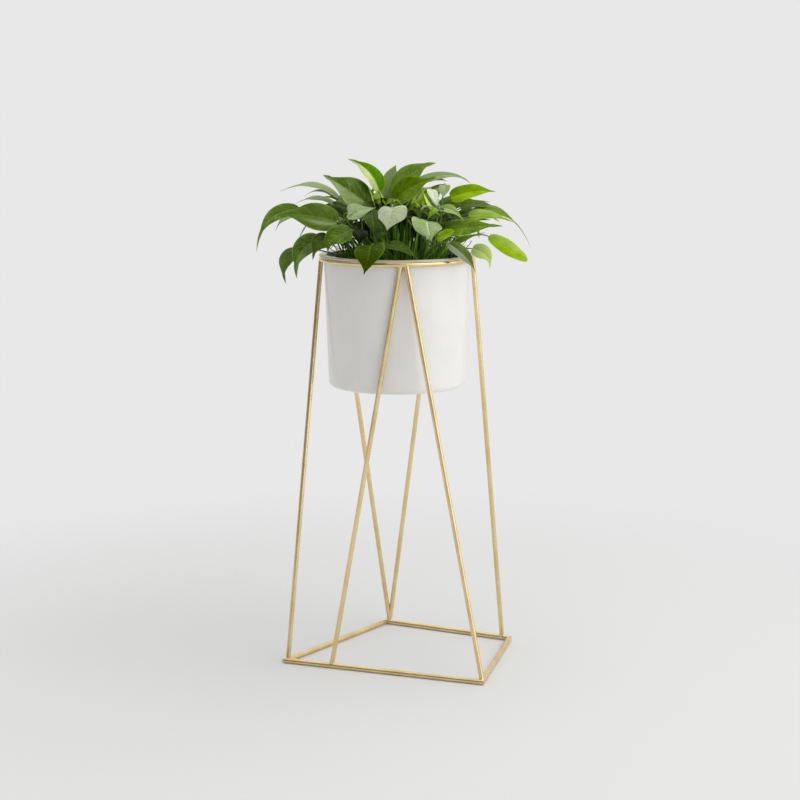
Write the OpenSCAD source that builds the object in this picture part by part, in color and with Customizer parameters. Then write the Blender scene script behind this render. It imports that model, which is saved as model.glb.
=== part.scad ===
// Plant stand: a ring on six straight rods over a four-sided base, with the planter it carries.
// Origin: on the floor, under the middle of the ring. +X runs along the front base bar, +Z is up.

/* [Ring] */
// Diameter of the ring, between the centre lines of its rod
ring_d = 224; // [205:1:250]
// Thickness of the ring's rod
ring_rod_d = 7; // [6:0.5:8]
// Height of the ring's centre line above the floor
ring_h = 599; // [450:1:700]

/* [Base frame] */
// Thickness of the base bars
bar_d = 8; // [7:0.5:10]
// Depth of the flat dressed on the underside of each base bar, where it stands
bar_flat = 0.4; // [0.3:0.1:0.8]
// Distance of the front bar in front of the ring's middle
front_y = 122; // [100:1:150]
// Reach of the front bar to the left of the ring's middle
front_left_x = 131; // [115:1:160]
// Reach of the front bar to the right of the ring's middle
front_right_x = 175; // [140:1:200]
// Reach of the back bar to the left of the ring's middle
back_left_x = 66; // [50:1:90]
// Distance of the back bar's left end behind the ring's middle
back_left_y = 129; // [110:1:150]
// Reach of the back bar to the right of the ring's middle
back_right_x = 147; // [120:1:170]
// Distance of the back bar's right end behind the ring's middle
back_right_y = 105; // [90:1:130]

/* [Legs] */
// Thickness of the six leg rods
leg_d = 7; // [5:0.5:7.5]
// Place of the left leg on the ring, in degrees from +X
left_angle = 200; // [190:1:210]
// Place of the front pair of legs on the ring, in degrees from +X
front_angle = 295; // [285:1:305]
// Spacing of the front pair of legs at the ring, between centre lines
front_pair = 8; // [8:0.5:14]
// Place of the right leg on the ring, in degrees from +X
right_angle = 20; // [10:1:30]
// Place of the back right leg on the ring, in degrees from +X
back_right_angle = 77; // [65:1:85]
// Place of the back left leg on the ring, in degrees from +X
back_left_angle = 165; // [150:1:175]
// Distance of the front middle leg's foot from the left end of the front bar
middle_foot = 73; // [50:1:120]
// Distance of the two front corner feet from their corners, along the side bars
corner_foot = 4; // [3:0.5:8]
// Distance of the right leg's foot from the right end of the back bar
right_foot = 12; // [9:1:30]
// Distance of the shared foot of the two back legs from the left end of the back bar
back_foot = 6; // [5:1:12]

/* [Planter] */
// Height of the planter, from its underside to the top of its rim
planter_h = 196; // [150:1:220]
// Thickness of the planter's wall and floor
planter_wall = 4; // [3:0.5:6]
// Slope of the planter's side, in degrees from upright
planter_slope = 2; // [0.5:0.1:4]
// Radius of the planter's bottom edge
planter_edge_r = 8; // [5:0.5:12]
// Thickness of the rim that rests on the ring
rim_t = 3; // [2.5:0.5:5]
// Overhang of the rim past the outside of the ring
rim_over = 0; // [0:0.5:3]
// Gap between the planter and the inside of the ring
ring_gap = 0.5; // [0.4:0.1:2]

/* [Grow pot] */
// Gap between the grow pot's lip and the inside of the planter
pot_gap = 6; // [4.5:0.5:10]
// Thickness of the grow pot's wall and floor
pot_wall = 1.6; // [1.2:0.1:2.5]
// Slope of the grow pot's side, in degrees from upright
pot_slope = 5; // [3:0.5:7]
// Height of the lip around the top of the grow pot
lip_h = 12; // [8:1:18]
// Width by which the lip stands out from the side
lip_w = 2.5; // [2:0.5:4]
// Depth of the grow pot's lip below the planter's rim
pot_low = 5; // [2:1:20]
// Number of drain holes in the grow pot's floor
drain_n = 8; // [4:1:10]
// Diameter of each drain hole
drain_d = 9; // [6:0.5:12]
// Height of the rib under the grow pot's floor
foot_h = 4; // [3:0.5:6]

/* [Plant] */
// Depth of the soil's surface below the planter's rim
soil_low = 12; // [10:1:20]
// Gap between the soil and the wall of the grow pot
soil_gap = 0.2; // [0.1:0.1:1]
// Direction of the plant's front, in degrees turned from the front of the stand
plant_turn = 20; // [15:1:25]
// Thickness of a leaf stalk
stalk_d = 2.6; // [2:0.2:3.2]
// Thickness of a leaf at its middle rib
leaf_t = 1.3; // [1:0.1:1.8]

/* [Hidden] */
GOLD = "#c2a366";
WHITE = "#e8e5df";
POT_BROWN = "#4a3a30";
SOIL_BROWN = "#3a2c22";
DARK = "#33521d";
MID = "#527a26";
BRIGHT = "#7fae2b";
PALE = "#b3c48c";

// Ring and planter
ring_in_r = ring_d / 2 - ring_rod_d / 2;
rim_r = ring_d / 2 + ring_rod_d / 2 + rim_over;
rim_z = ring_h + ring_rod_d / 2 + rim_t;
planter_z = rim_z - planter_h;
planter_top_r = ring_in_r - ring_gap;
planter_bottom_r = planter_top_r - (planter_h - rim_t - ring_rod_d / 2) * tan(planter_slope);
function planter_inner_r(z) =
    planter_bottom_r - planter_wall + (z - planter_z) * tan(planter_slope);

// Grow pot and soil
pot_z = planter_z + planter_wall;
pot_top_z = rim_z - pot_low;
pot_h = pot_top_z - pot_z;
pot_top_r = planter_inner_r(pot_top_z) - pot_gap - lip_w;
pot_bottom_r = pot_top_r - pot_h * tan(pot_slope);
pot_floor_z = pot_z + foot_h + pot_wall;
soil_z = rim_z - soil_low;
function pot_inner_r(z) = pot_bottom_r - pot_wall + (z - pot_z) * tan(pot_slope);

// Base corners, on the centre lines of the bars
bar_z = bar_d / 2 - bar_flat;
bar_top = bar_z + bar_d / 2;
FRONT_LEFT = [-front_left_x, -front_y, bar_z];
FRONT_RIGHT = [front_right_x, -front_y, bar_z];
BACK_RIGHT = [back_right_x, back_right_y, bar_z];
BACK_LEFT = [-back_left_x, back_left_y, bar_z];

// Legs, each from its place on the ring to its foot on a bar
front_half = asin(front_pair / ring_d);
LEGS = [
    ["leg_left", left_angle, along(FRONT_LEFT, BACK_LEFT, corner_foot)],
    ["leg_front_middle", front_angle - front_half, along(FRONT_LEFT, FRONT_RIGHT, middle_foot)],
    ["leg_front_right", front_angle + front_half, along(FRONT_RIGHT, BACK_RIGHT, corner_foot)],
    ["leg_right", right_angle, along(BACK_RIGHT, BACK_LEFT, right_foot)],
    ["leg_back_left", back_left_angle, along(BACK_LEFT, BACK_RIGHT, back_foot)],
    ["leg_back_right", back_right_angle, along(BACK_LEFT, BACK_RIGHT, back_foot)]
];
BACK_PAIR = [4, 5];
BARS = [
    ["base_front_bar", FRONT_LEFT, FRONT_RIGHT, BACK_LEFT, BACK_RIGHT],
    ["base_right_bar", FRONT_RIGHT, BACK_RIGHT, FRONT_LEFT, BACK_LEFT],
    ["base_back_bar", BACK_RIGHT, BACK_LEFT, FRONT_RIGHT, FRONT_LEFT],
    ["base_left_bar", BACK_LEFT, FRONT_LEFT, BACK_RIGHT, FRONT_RIGHT]
];

// Leaves that show from the front: where the blade begins, a point halfway along its rib, its tip,
// its half width, the degrees by which it turns its upper face to the front, the share of its length
// that is a thin drip tip, and its colour.
// Points are across, behind the middle of the pot and above its rim, for a rim of this radius.
LEAF_RIM_R = 115.5;
FRONT_LEAVES = [
    ["leaf_crown_left", [-27, 5, 94], [-43, 8, 122], [-73, 15, 139], 19, 42, 0.1, BRIGHT],
    ["leaf_crown_right", [-4, 22, 84], [25, 30, 119], [58, 35, 132], 20, 50, 0.1, MID],
    ["leaf_crown_front", [-1, -8, 80], [22, -15, 99], [57, -20, 113], 23, 58, 0.05, MID],
    ["leaf_crown_back", [-12, 40, 77], [-9, 50, 109], [-1, 58, 129], 16, 0, 0, MID],
    ["leaf_crown_long", [15, 6, 97], [72, 2, 115], [109, -3, 103], 13, 26, 0.1, PALE],
    ["leaf_right_bright", [80, -5, 83], [113, -8, 92], [145, -12, 92], 17, 42, 0.05, BRIGHT],
    ["leaf_left_big", [-38, -15, 70], [-76, -18, 98], [-108, -20, 117], 28, 48, 0.08, MID],
    ["leaf_left_narrow", [-87, 0, 81], [-125, 0, 101], [-172, -5, 92], 14, 20, 0.15, MID],
    ["leaf_left_thin", [-94, 30, 81], [-117, 32, 91], [-138, 35, 83], 9, 10, 0.15, DARK],
    ["leaf_left_pale", [-92, 12, 70], [-120, 12, 81], [-150, 15, 73], 13, 15, 0.1, PALE],
    ["leaf_far_left", [-145, 8, 66], [-188, -14, 50], [-204, -46, 7], 13, 40, 0.2, MID],
    ["leaf_left_dark", [-87, -50, 51], [-127, -60, 60], [-165, -62, 63], 21, 68, 0, DARK],
    ["leaf_left_inner", [-73, -18, 53], [-92, -20, 66], [-112, -22, 73], 12, 30, 0, DARK],
    ["leaf_left_small", [-147, 24, 57], [-168, 22, 50], [-181, 20, 32], 9, 35, 0.1, PALE],
    ["leaf_low_left_outer", [-147, -4, 5], [-165, -26, -12], [-161, -54, -39], 11, 30, 0.1, DARK],
    ["leaf_low_left_inner", [-112, -30, 23], [-140, -52, 6], [-144, -78, -29], 17, 38, 0.12, MID],
    ["leaf_left_dark_small", [-99, -62, 28], [-114, -70, 17], [-121, -74, -3], 14, 50, 0.1, DARK],
    ["leaf_front_left", [-66, -68, 39], [-92, -82, 27], [-98, -90, 10], 16, 45, 0.05, MID],
    ["leaf_pale_left", [-70, -56, 64], [-55, -55, 66], [-30, -46, 71], 13, 60, 0.02, PALE],
    ["leaf_heart", [-7, -73, 72], [-10, -80, 59], [-14, -85, 40], 25, 0, 0, PALE],
    ["leaf_pale_centre", [43, -64, 52], [45, -75, 41], [50, -82, 24], 25, -14, 0.02, PALE],
    ["leaf_bright_small", [59, -74, 28], [71, -78, 34], [83, -82, 40], 10, 50, -0.2, BRIGHT],
    ["leaf_pale_right", [63, -38, 69], [81, -46, 66], [97, -52, 52], 11, 25, 0.05, MID],
    ["leaf_pale_small", [59, -16, 71], [50, -20, 83], [58, -24, 97], 9, 0, 0, PALE],
    ["leaf_dark_right", [64, 8, 71], [99, 10, 77], [138, 12, 76], 14, 38, 0.2, DARK],
    ["leaf_long_right", [111, 15, 62], [163, 5, 55], [197, -5, 10], 12, 28, 0.35, MID],
    ["leaf_lime_under", [106, -18, 56], [136, -22, 58], [173, -26, 48], 12, 36, 0.1, BRIGHT],
    ["leaf_dark_middle", [60, -22, 47], [80, -30, 56], [104, -36, 49], 12, 30, 0.05, DARK],
    ["leaf_right_middle", [68, -50, 35], [114, -56, 44], [154, -58, 45], 16, 42, 0.12, MID],
    ["leaf_right_low", [80, -36, 16], [104, -40, 27], [129, -44, 35], 10, 25, 0.1, MID],
    ["leaf_lime_low", [136, -8, 26], [164, -12, 9], [192, -15, -9], 12, 62, -0.35, BRIGHT],
    ["leaf_lime_hanging", [111, -32, 10], [131, -42, 0], [135, -48, -19], 12, 50, 0.12, BRIGHT],
    ["leaf_front_right", [76, -80, 21], [99, -90, 3], [113, -95, -19], 11, 45, 0.04, DARK],
    ["leaf_front_hanging", [-36, -102, 20], [-40, -122, 4], [-46, -128, -19], 22, 0, 0.03, DARK],
    ["leaf_front_low", [-13, -92, 21], [10, -104, 15], [30, -112, 2], 13, 20, 0.05, DARK],
    ["leaf_dark_centre", [-36, -60, 62], [-33, -74, 49], [-33, -80, 31], 14, 0, 0.05, DARK],
    ["leaf_dark_left", [-52, -90, 41], [-52, -104, 33], [-52, -108, 23], 11, 0, 0, DARK],
    ["leaf_new_left", [-32, -26, 71], [-36, -26, 85], [-42, -26, 101], 8, 20, 0, BRIGHT],
    ["leaf_new_right", [38, -24, 69], [35, -27, 82], [40, -31, 96], 6, 15, 0, BRIGHT],
    ["leaf_round_green", [8, -38, 64], [5, -44, 74], [-1, -49, 82], 9, 30, 0, BRIGHT]
];

// Leaves on the side away from the front, spread evenly: their number, and the sweep that they fill
back_leaf_n = 5;
back_leaf_from = 35;
back_leaf_step = 27;
back_leaf_w = 20;
back_leaf_tail = 0.1;
BACK_LEAVES = [
    for (k = [0:back_leaf_n - 1])
        let (a = back_leaf_from + k * back_leaf_step, up = k % 2 == 0 ? 0 : 22)
            [
                str("leaf_back_", k + 1),
                polar(92 - up, a, 38 + up),
                polar(141 - up, a + 4, 50 + up),
                polar(172 - up, a + 8, 14 + up),
                back_leaf_w, 0, back_leaf_tail, k % 2 == 0 ? MID : DARK
            ]
];
LEAVES = concat(FRONT_LEAVES, BACK_LEAVES);

// Smaller leaves that fill the back of the plant, in tiers: how many, the direction of the first, the
// step to the next, the reach and height of a leaf's base, middle and tip, its half width, its colour
BACK_TIERS = [
    [4, 48, 27, [62, 72], [92, 92], [120, 78], 15, MID],
    [2, 55, 80, [38, 68], [66, 92], [94, 88], 14, MID]
];
SMALL_LEAVES = [
    for (t = BACK_TIERS) for (k = [0:t[0] - 1])
        let (a = t[1] + k * t[2])
            ["leaves_back_small", polar(t[3][0], a, t[3][1]), polar(t[4][0], a + 5, t[4][1]),
             polar(t[5][0], a + 10, t[5][1]), t[6], 0, back_leaf_tail, t[7]]
];

// Leaf surface: rings along the stalk, rings along the blade, points in a ring
stalk_rings = 5;
blade_rings = 10;
leaf_sides = 8;
stalk_foot = 0.45;
stalk_rise = 0.45;
stalk_lead = 0.3;
fold = 0.22;
lobe = 0.4;
tip_w = 0.4;
tip_t = 0.3;

// Small geometry helpers
function unit(v) = v / norm(v);
function along(a, b, d) = a + unit(b - a) * d;
function polar(r, a, z) = [r * cos(a), r * sin(a), z];
function on_ring(a) = polar(ring_d / 2, a, ring_h);
function cubic(a, b, c, d, t) =
    a * pow(1 - t, 3) + 3 * b * t * pow(1 - t, 2) + 3 * c * pow(t, 2) * (1 - t) + d * pow(t, 3);
function cubic_way(a, b, c, d, t) =
    unit((b - a) * pow(1 - t, 2) + 2 * (c - b) * t * (1 - t) + (d - c) * pow(t, 2));

// A straight rod with square ends, between two points
module rod(a, b, d) {
    way = b - a;
    translate(a)
        rotate([0, acos(way.z / norm(way)), atan2(way.y, way.x)])
            cylinder(h = norm(way), d = d, $fn = 48);
}

// Everything on the far side of an upright plane through p, away from the side that v points to
module behind_plane(p, v, reach) {
    translate([p.x, p.y, p.z - reach])
        rotate([0, 0, atan2(v.y, v.x)])
            translate([-reach, -reach, 0])
                cube([reach, 2 * reach, 2 * reach]);
}

module ring_shape() {
    translate([0, 0, ring_h])
        rotate_extrude($fn = 120)
            translate([ring_d / 2, 0])
                circle(d = ring_rod_d, $fn = 48);
}

// Every base bar at full length, without its mitred ends
module bar_shapes() {
    for (b = BARS)
        rod(along(b[1], b[2], -bar_d), along(b[2], b[1], -bar_d), bar_d);
}

module top_ring() {
    color(GOLD) ring_shape();
}

// A bar between corners a and b, mitred against the bars that leave them for a2 and b2
module bar(a, b, a2, b2) {
    reach = 2 * bar_d;
    color(GOLD)
        difference() {
            rod(along(a, b, -bar_d), along(b, a, -bar_d), bar_d);
            behind_plane(a, unit(b - a) - unit(a2 - a), reach);
            behind_plane(b, unit(a - b) - unit(b2 - b), reach);
            translate([-2 * ring_d, -2 * ring_d, -bar_d])
                cube([4 * ring_d, 4 * ring_d, bar_d]);
        }
}

// The upright line that parts the two back legs where they share a foot
function pair_way(i) =
    let (
        own = unit(on_ring(LEGS[i][1]) - LEGS[i][2]),
        other = BACK_PAIR[0] == i ? BACK_PAIR[1] : BACK_PAIR[0]
    ) own - unit(on_ring(LEGS[other][1]) - LEGS[other][2]);

// A leg's plain rod, from just under the ring's centre line to just over the bar's
module leg_rod(l) {
    top = on_ring(l[1]);
    rod(along(l[2], top, bar_d / 8), along(top, l[2], ring_rod_d / 5), leg_d);
}

module leg(i) {
    color(GOLD)
        difference() {
            leg_rod(LEGS[i]);
            ring_shape();
            bar_shapes();
            if (i == BACK_PAIR[0] || i == BACK_PAIR[1])
                behind_plane(LEGS[i][2], pair_way(i), ring_d);
        }
}

// Half outline of the planter, turned about the upright axis
module planter() {
    arc_n = 10;
    edge = planter_edge_r;
    turn = 90 - planter_slope;
    edge_x = planter_bottom_r - edge * tan(45 - planter_slope / 2);
    inner_edge = edge - planter_wall / 2;
    inner_z = planter_z + planter_wall;
    inner_x = planter_inner_r(inner_z) - inner_edge * tan(45 - planter_slope / 2);
    lip_z = rim_z - rim_t;
    color(WHITE)
        rotate_extrude($fn = 120)
            polygon(concat(
                [[0, planter_z]],
                [for (k = [0:arc_n])
                    [edge_x + edge * sin(k * turn / arc_n),
                     planter_z + edge - edge * cos(k * turn / arc_n)]],
                [[planter_top_r, lip_z], [rim_r - rim_t / 4, lip_z], [rim_r, lip_z + rim_t / 4],
                 [rim_r, rim_z - rim_t / 4], [rim_r - rim_t / 4, rim_z],
                 [planter_inner_r(rim_z) + rim_t / 4, rim_z],
                 [planter_inner_r(rim_z - rim_t / 4), rim_z - rim_t / 4]],
                [for (k = [arc_n:-1:0])
                    [inner_x + inner_edge * sin(k * turn / arc_n),
                     inner_z + inner_edge - inner_edge * cos(k * turn / arc_n)]],
                [[0, inner_z]]
            ));
}

// Thin tapered pot with a lip, a raised floor on a foot rib, and drain holes
module grow_pot() {
    side_r = function(z) pot_bottom_r + (z - pot_z) * tan(pot_slope);
    lip_z = pot_top_z - lip_h;
    drain_ring_r = pot_bottom_r * 0.6;
    color(POT_BROWN)
        difference() {
            rotate_extrude($fn = 96)
                polygon([
                    [0, pot_floor_z - pot_wall], [pot_bottom_r - 2 * pot_wall, pot_floor_z - pot_wall],
                    [pot_bottom_r - 2 * pot_wall, pot_z], [pot_bottom_r, pot_z],
                    [side_r(lip_z), lip_z], [pot_top_r + lip_w, lip_z],
                    [pot_top_r + lip_w, pot_top_z], [pot_inner_r(pot_top_z), pot_top_z],
                    [pot_inner_r(pot_floor_z), pot_floor_z], [0, pot_floor_z]
                ]);
            for (k = [0:drain_n - 1])
                translate(polar(drain_ring_r, k * 360 / drain_n, pot_z))
                    cylinder(h = foot_h + 3 * pot_wall, d = drain_d, $fn = 32);
        }
}

module potting_soil() {
    color(SOIL_BROWN)
        rotate_extrude($fn = 96)
            polygon([
                [0, pot_floor_z], [pot_inner_r(pot_floor_z) - soil_gap, pot_floor_z],
                [pot_inner_r(soil_z) - soil_gap, soil_z], [0, soil_z]
            ]);
}

// A point of the plant, from the leaf table to the stand's own axes
function plant_point(p) =
    let (s = rim_r / LEAF_RIM_R, c = cos(plant_turn), d = sin(plant_turn))
        [s * (p.x * c - p.y * d), s * (p.x * d + p.y * c), rim_z + p.z];

// Width of the blade at t from its base to its tip, as a share of its half width
function blade_width(t, tail) = sin(180 * pow(min(t / (1 - tail), 1), 0.6));

// One closed ring of points around the leaf's middle line
function leaf_ring(p, way, side, half_w, half_t, rise, back) =
    let (s = unit(side - (side * way) * way), n = cross(s, way))
        [for (k = [0:leaf_sides - 1])
            let (a = 360 * k / leaf_sides, x = cos(a))
                p + half_w * x * s + (half_t * sin(a) + rise * abs(x)) * n - back * abs(x) * way];

// A stalk that rises from the soil, and a blade that arches from its end to the tip
module leaf(l) {
    base = plant_point(l[1]);
    middle = plant_point(l[2]);
    tip = plant_point(l[3]);
    bend = 2 * middle - (base + tip) / 2;
    half_w = l[4];
    foot = [base.x * stalk_foot, base.y * stalk_foot, soil_z];
    rise = (base.z - foot.z) * stalk_rise;
    out = unit(bend - base);
    foot_handle = foot + [0, 0, rise];
    base_handle = base - out * norm(base - foot) * stalk_lead;
    blade_a = base + (bend - base) * 2 / 3;
    blade_b = tip + (bend - tip) * 2 / 3;
    heading = unit([tip.x - base.x, tip.y - base.y, 0]);
    level = [heading.y, -heading.x, 0];
    side = level * cos(l[5]) + [0, 0, (l[3].x < l[1].x ? 1 : -1) * sin(l[5])];
    rings = concat(
        [for (k = [0:stalk_rings - 1])
            let (t = k / stalk_rings)
                leaf_ring(cubic(foot, foot_handle, base_handle, base, t),
                          cubic_way(foot, foot_handle, base_handle, base, t),
                          side, stalk_d / 2, stalk_d / 2, 0, 0)],
        [for (k = [0:blade_rings - 1])
            let (t = pow(k / (blade_rings - 1), 1.25), w = blade_width(t, l[6]) * half_w)
                leaf_ring(cubic(base, blade_a, blade_b, tip, t),
                          cubic_way(base, blade_a, blade_b, tip, t),
                          side,
                          max(w, k == 0 ? stalk_d / 2 : tip_w),
                          k == 0 ? stalk_d / 2 : max(leaf_t / 2 * (1 - t), tip_t / 2),
                          fold * w,
                          lobe * w * pow(1 - t, 6))]
    );
    n = leaf_sides;
    count = len(rings);
    color(l[7])
        polyhedron(
            points = [for (r = rings) for (p = r) p],
            faces = concat(
                [[for (k = [n - 1:-1:0]) k]],
                [for (r = [0:count - 2]) for (k = [0:n - 1])
                    let (a = r * n + k, b = r * n + (k + 1) % n)
                        [a, b + n, a + n]],
                [for (r = [0:count - 2]) for (k = [0:n - 1])
                    let (a = r * n + k, b = r * n + (k + 1) % n)
                        [a, b, b + n]],
                [[for (k = [0:n - 1]) (count - 1) * n + k]]
            )
        );
}

module leaves_back_small() {
    for (l = SMALL_LEAVES)
        leaf(l);
}

top_ring();
for (i = [0:len(LEGS) - 1])
    leg(i);
for (b = BARS)
    bar(b[1], b[2], b[3], b[4]);
planter();
grow_pot();
potting_soil();
for (l = LEAVES)
    leaf(l);
leaves_back_small();
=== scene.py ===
"""Looks of a gold wire plant stand with its white glazed planter and a leafy plant.

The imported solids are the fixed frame. This script adds the finished rods, the glazed pot, the soil and every
leaf as surfaces worked out with numpy, dresses them with procedural materials, and lights them softly.
Lengths are written in millimetres and turned to metres where a mesh is made.
"""

import logging
import math
from collections.abc import Callable
from dataclasses import dataclass, field
from enum import Enum
from functools import partial

import bpy
import numpy as np
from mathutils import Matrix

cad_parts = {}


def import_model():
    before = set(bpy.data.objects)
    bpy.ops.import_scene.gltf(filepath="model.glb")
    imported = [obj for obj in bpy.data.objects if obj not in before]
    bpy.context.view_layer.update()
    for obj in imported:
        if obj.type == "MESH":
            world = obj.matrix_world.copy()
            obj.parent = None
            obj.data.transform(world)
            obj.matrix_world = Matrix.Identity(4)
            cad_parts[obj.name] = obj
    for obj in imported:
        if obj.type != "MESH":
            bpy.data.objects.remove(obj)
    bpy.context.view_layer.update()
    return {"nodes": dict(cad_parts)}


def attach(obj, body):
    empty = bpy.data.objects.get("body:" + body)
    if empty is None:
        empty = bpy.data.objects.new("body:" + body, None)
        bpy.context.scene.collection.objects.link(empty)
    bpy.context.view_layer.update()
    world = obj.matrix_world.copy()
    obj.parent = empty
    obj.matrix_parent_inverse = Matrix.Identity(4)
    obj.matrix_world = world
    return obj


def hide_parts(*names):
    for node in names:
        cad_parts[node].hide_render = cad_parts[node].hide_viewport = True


log = logging.getLogger("plant_stand")

Array = np.ndarray
Point = tuple[float, float, float] | Array
Socket = bpy.types.NodeSocket
Adder = Callable[..., Socket]

MM = 0.001
TURN = 2.0 * math.pi
# Heights of the planter's rim and of the soil.
RIM_Z = 605.5
SOIL_Z = 593.5
# A leaf's side veins: their number along it, their sweep to the tip, and the power by which they bend.
VEINS = 9.0
SWEEP = 0.3
VEIN_BEND = 1.35


# ---- geometry


def unit(v: Array) -> Array:
    """Returns v scaled to length one along its last axis."""
    return v / np.linalg.norm(v, axis=-1, keepdims=True)


def dot(a: Array, b: Array) -> Array:
    """Returns the scalar product along the last axis, which is kept."""
    return np.sum(a * b, axis=-1, keepdims=True)


def bundle(*parts: Array | float) -> Array:
    """Returns the parts, spread to one shape, side by side along a new last axis."""
    return np.stack(np.broadcast_arrays(*parts), axis=-1)


def polar(radius: float, degrees: float, height: float) -> Array:
    """Returns the point at that radius, direction and height."""
    a = math.radians(degrees)
    return np.array([radius * math.cos(a), radius * math.sin(a), height])


def ease(x: Array, low: float, high: float) -> Array:
    """Returns a step that rises smoothly from 0 at low to 1 at high: 3 u squared less 2 u cubed."""
    u = np.clip((x - low) / (high - low), 0.0, 1.0)
    return u * u * (3.0 - 2.0 * u)


def cubic(a: Array, b: Array, c: Array, d: Array, t: Array) -> tuple[Array, Array]:
    """Works out a cubic curve.

    Args:
        a: its first end.
        b: the handle of that end.
        c: the handle of the other end.
        d: its other end.
        t: places along the curve, from 0 to 1.

    Returns:
        The points and the directions, each with one row for each value of t.
    """
    t = t[:, None]
    u = 1.0 - t
    points = a * u**3 + 3.0 * b * t * u**2 + 3.0 * c * t**2 * u + d * t**3
    return points, unit((b - a) * u**2 + 2.0 * (c - b) * t * u + (d - c) * t**2)


def new_object(name: str, data: bpy.types.ID) -> bpy.types.Object:
    """Returns a new object of the scene, which holds data.

    Args:
        name: its name.
        data: its mesh, lamp or camera.

    Returns:
        The object, at the frame's origin.
    """
    thing = bpy.data.objects.new(name, data)
    bpy.context.scene.collection.objects.link(thing)
    return thing


@dataclass
class Surface:
    """A grid of points whose rows are closed rings along a path.

    Attributes:
        points: rows x columns x 3, in millimetres.
        marks: values that materials read, by name, each rows x columns x 3.
        loop: whether the last row joins the first. If not, a fan closes each of the two.
        flip: whether the rings run clockwise as seen against the path.
    """

    points: Array
    marks: dict[str, Array] = field(default_factory=dict)
    loop: bool = False
    flip: bool = False

    def faces(self) -> tuple[Array, Array]:
        """Works out the faces: quads between the rows and, unless they make a loop, a fan at both ends.

        A quad joins a point, the next one in its ring, and the same two in the next ring. Each fan runs about
        one more point, which follows the grid's own.

        Returns:
            The quads and the fans' triangles, as point numbers.
        """
        rows, columns, _ = self.points.shape
        number = np.arange(rows * columns).reshape(rows, columns)
        ahead = np.roll(number, -1, axis=1)
        last = rows if self.loop else rows - 1
        there, there_next = np.roll(number, -1, axis=0)[:last], np.roll(ahead, -1, axis=0)[:last]
        quads = bundle(number[:last], ahead[:last], there_next, there).reshape(-1, 4)
        fans = np.zeros((0, 3), int)
        if not self.loop:
            fans = np.concatenate([bundle(number.size, ahead[0], number[0]),
                                   bundle(number.size + 1, number[-1], ahead[-1])])
        return (quads[:, ::-1], fans[:, ::-1]) if self.flip else (quads, fans)

    def with_middles(self, grid: Array) -> Array:
        """Returns grid as one list of rows, and after it the middles of the fans."""
        flat = grid.reshape(-1, 3)
        return flat if self.loop else np.concatenate([flat, grid[[0, -1]].mean(axis=1)])


def make_piece(name: str, surfaces: list[Surface], finish: bpy.types.Material,
               sharp: float = 50.0) -> bpy.types.Object:
    """Makes one mesh object of several surfaces, in metres, with its origin at the frame's.

    Args:
        name: the object's name.
        surfaces: what it is made of.
        finish: its material.
        sharp: the angle between faces, in degrees, past which an edge isn't shaded smooth.

    Returns:
        The new object.
    """
    points, quads, fans = [], [], []
    marks: dict[str, list[Array]] = {key: [] for key in surfaces[0].marks}
    count = 0
    for surface in surfaces:
        points.append(surface.with_middles(surface.points))
        four, three = surface.faces()
        quads.append(four + count)
        fans.append(three + count)
        for key, values in marks.items():
            values.append(surface.with_middles(surface.marks[key]))
        count += len(points[-1])
    four, three = np.concatenate(quads), np.concatenate(fans)
    starts = np.concatenate([np.arange(len(four)) * 4, four.size + np.arange(len(three)) * 3])
    mesh = bpy.data.meshes.new(name)
    mesh.vertices.add(count)
    mesh.vertices.foreach_set("co", (np.concatenate(points) * MM).astype(np.float32).ravel())
    mesh.loops.add(four.size + three.size)
    mesh.loops.foreach_set("vertex_index", np.concatenate([four.ravel(), three.ravel()]).astype(np.int32))
    mesh.polygons.add(len(starts))
    mesh.polygons.foreach_set("loop_start", starts.astype(np.int32))
    mesh.polygons.foreach_set("use_smooth", np.ones(len(starts), bool))
    for key, values in marks.items():
        attribute = mesh.attributes.new(key, "FLOAT_VECTOR", "POINT")
        attribute.data.foreach_set("vector", np.concatenate(values).astype(np.float32).ravel())
    mesh.update(calc_edges=True)
    mesh.validate()
    mesh.set_sharp_from_angle(angle=math.radians(sharp))
    mesh.materials.append(finish)
    return new_object(name, mesh)


def ring_angles(columns: int) -> Array:
    """Returns the directions of a ring's points, evenly spaced from 0 round to just short of a full turn."""
    return np.linspace(0.0, TURN, columns, endpoint=False)


def lathe(profile: Array, columns: int) -> Surface:
    """Turns a half outline about the upright axis: a point is (radius cos a, radius sin a, height).

    Args:
        profile: radius and height of each point, from the middle of the underside out and over.
        columns: the number of points in each ring.

    Returns:
        The surface.
    """
    a = ring_angles(columns)
    radius, height = profile[:, 0, None], profile[:, 1, None]
    return Surface(bundle(radius * np.cos(a), radius * np.sin(a), height))


def arc(x: float, z: float, radius: float, first: float, last: float, count: int) -> Array:
    """Returns count points of a round corner, between two directions in degrees about its centre."""
    a = np.radians(np.linspace(first, last, count))
    return bundle(x + radius * np.cos(a), z + radius * np.sin(a))


# ---- materials


def linear(hex_colour: str) -> tuple[float, ...]:
    """Turns an sRGB hex colour to the linear values that shaders take."""
    shares = np.array([int(hex_colour[i:i + 2], 16) / 255.0 for i in (1, 3, 5)])
    return (*np.where(shares <= 0.04045, shares / 12.92, ((shares + 0.055) / 1.055) ** 2.4).tolist(), 1.0)


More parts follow.
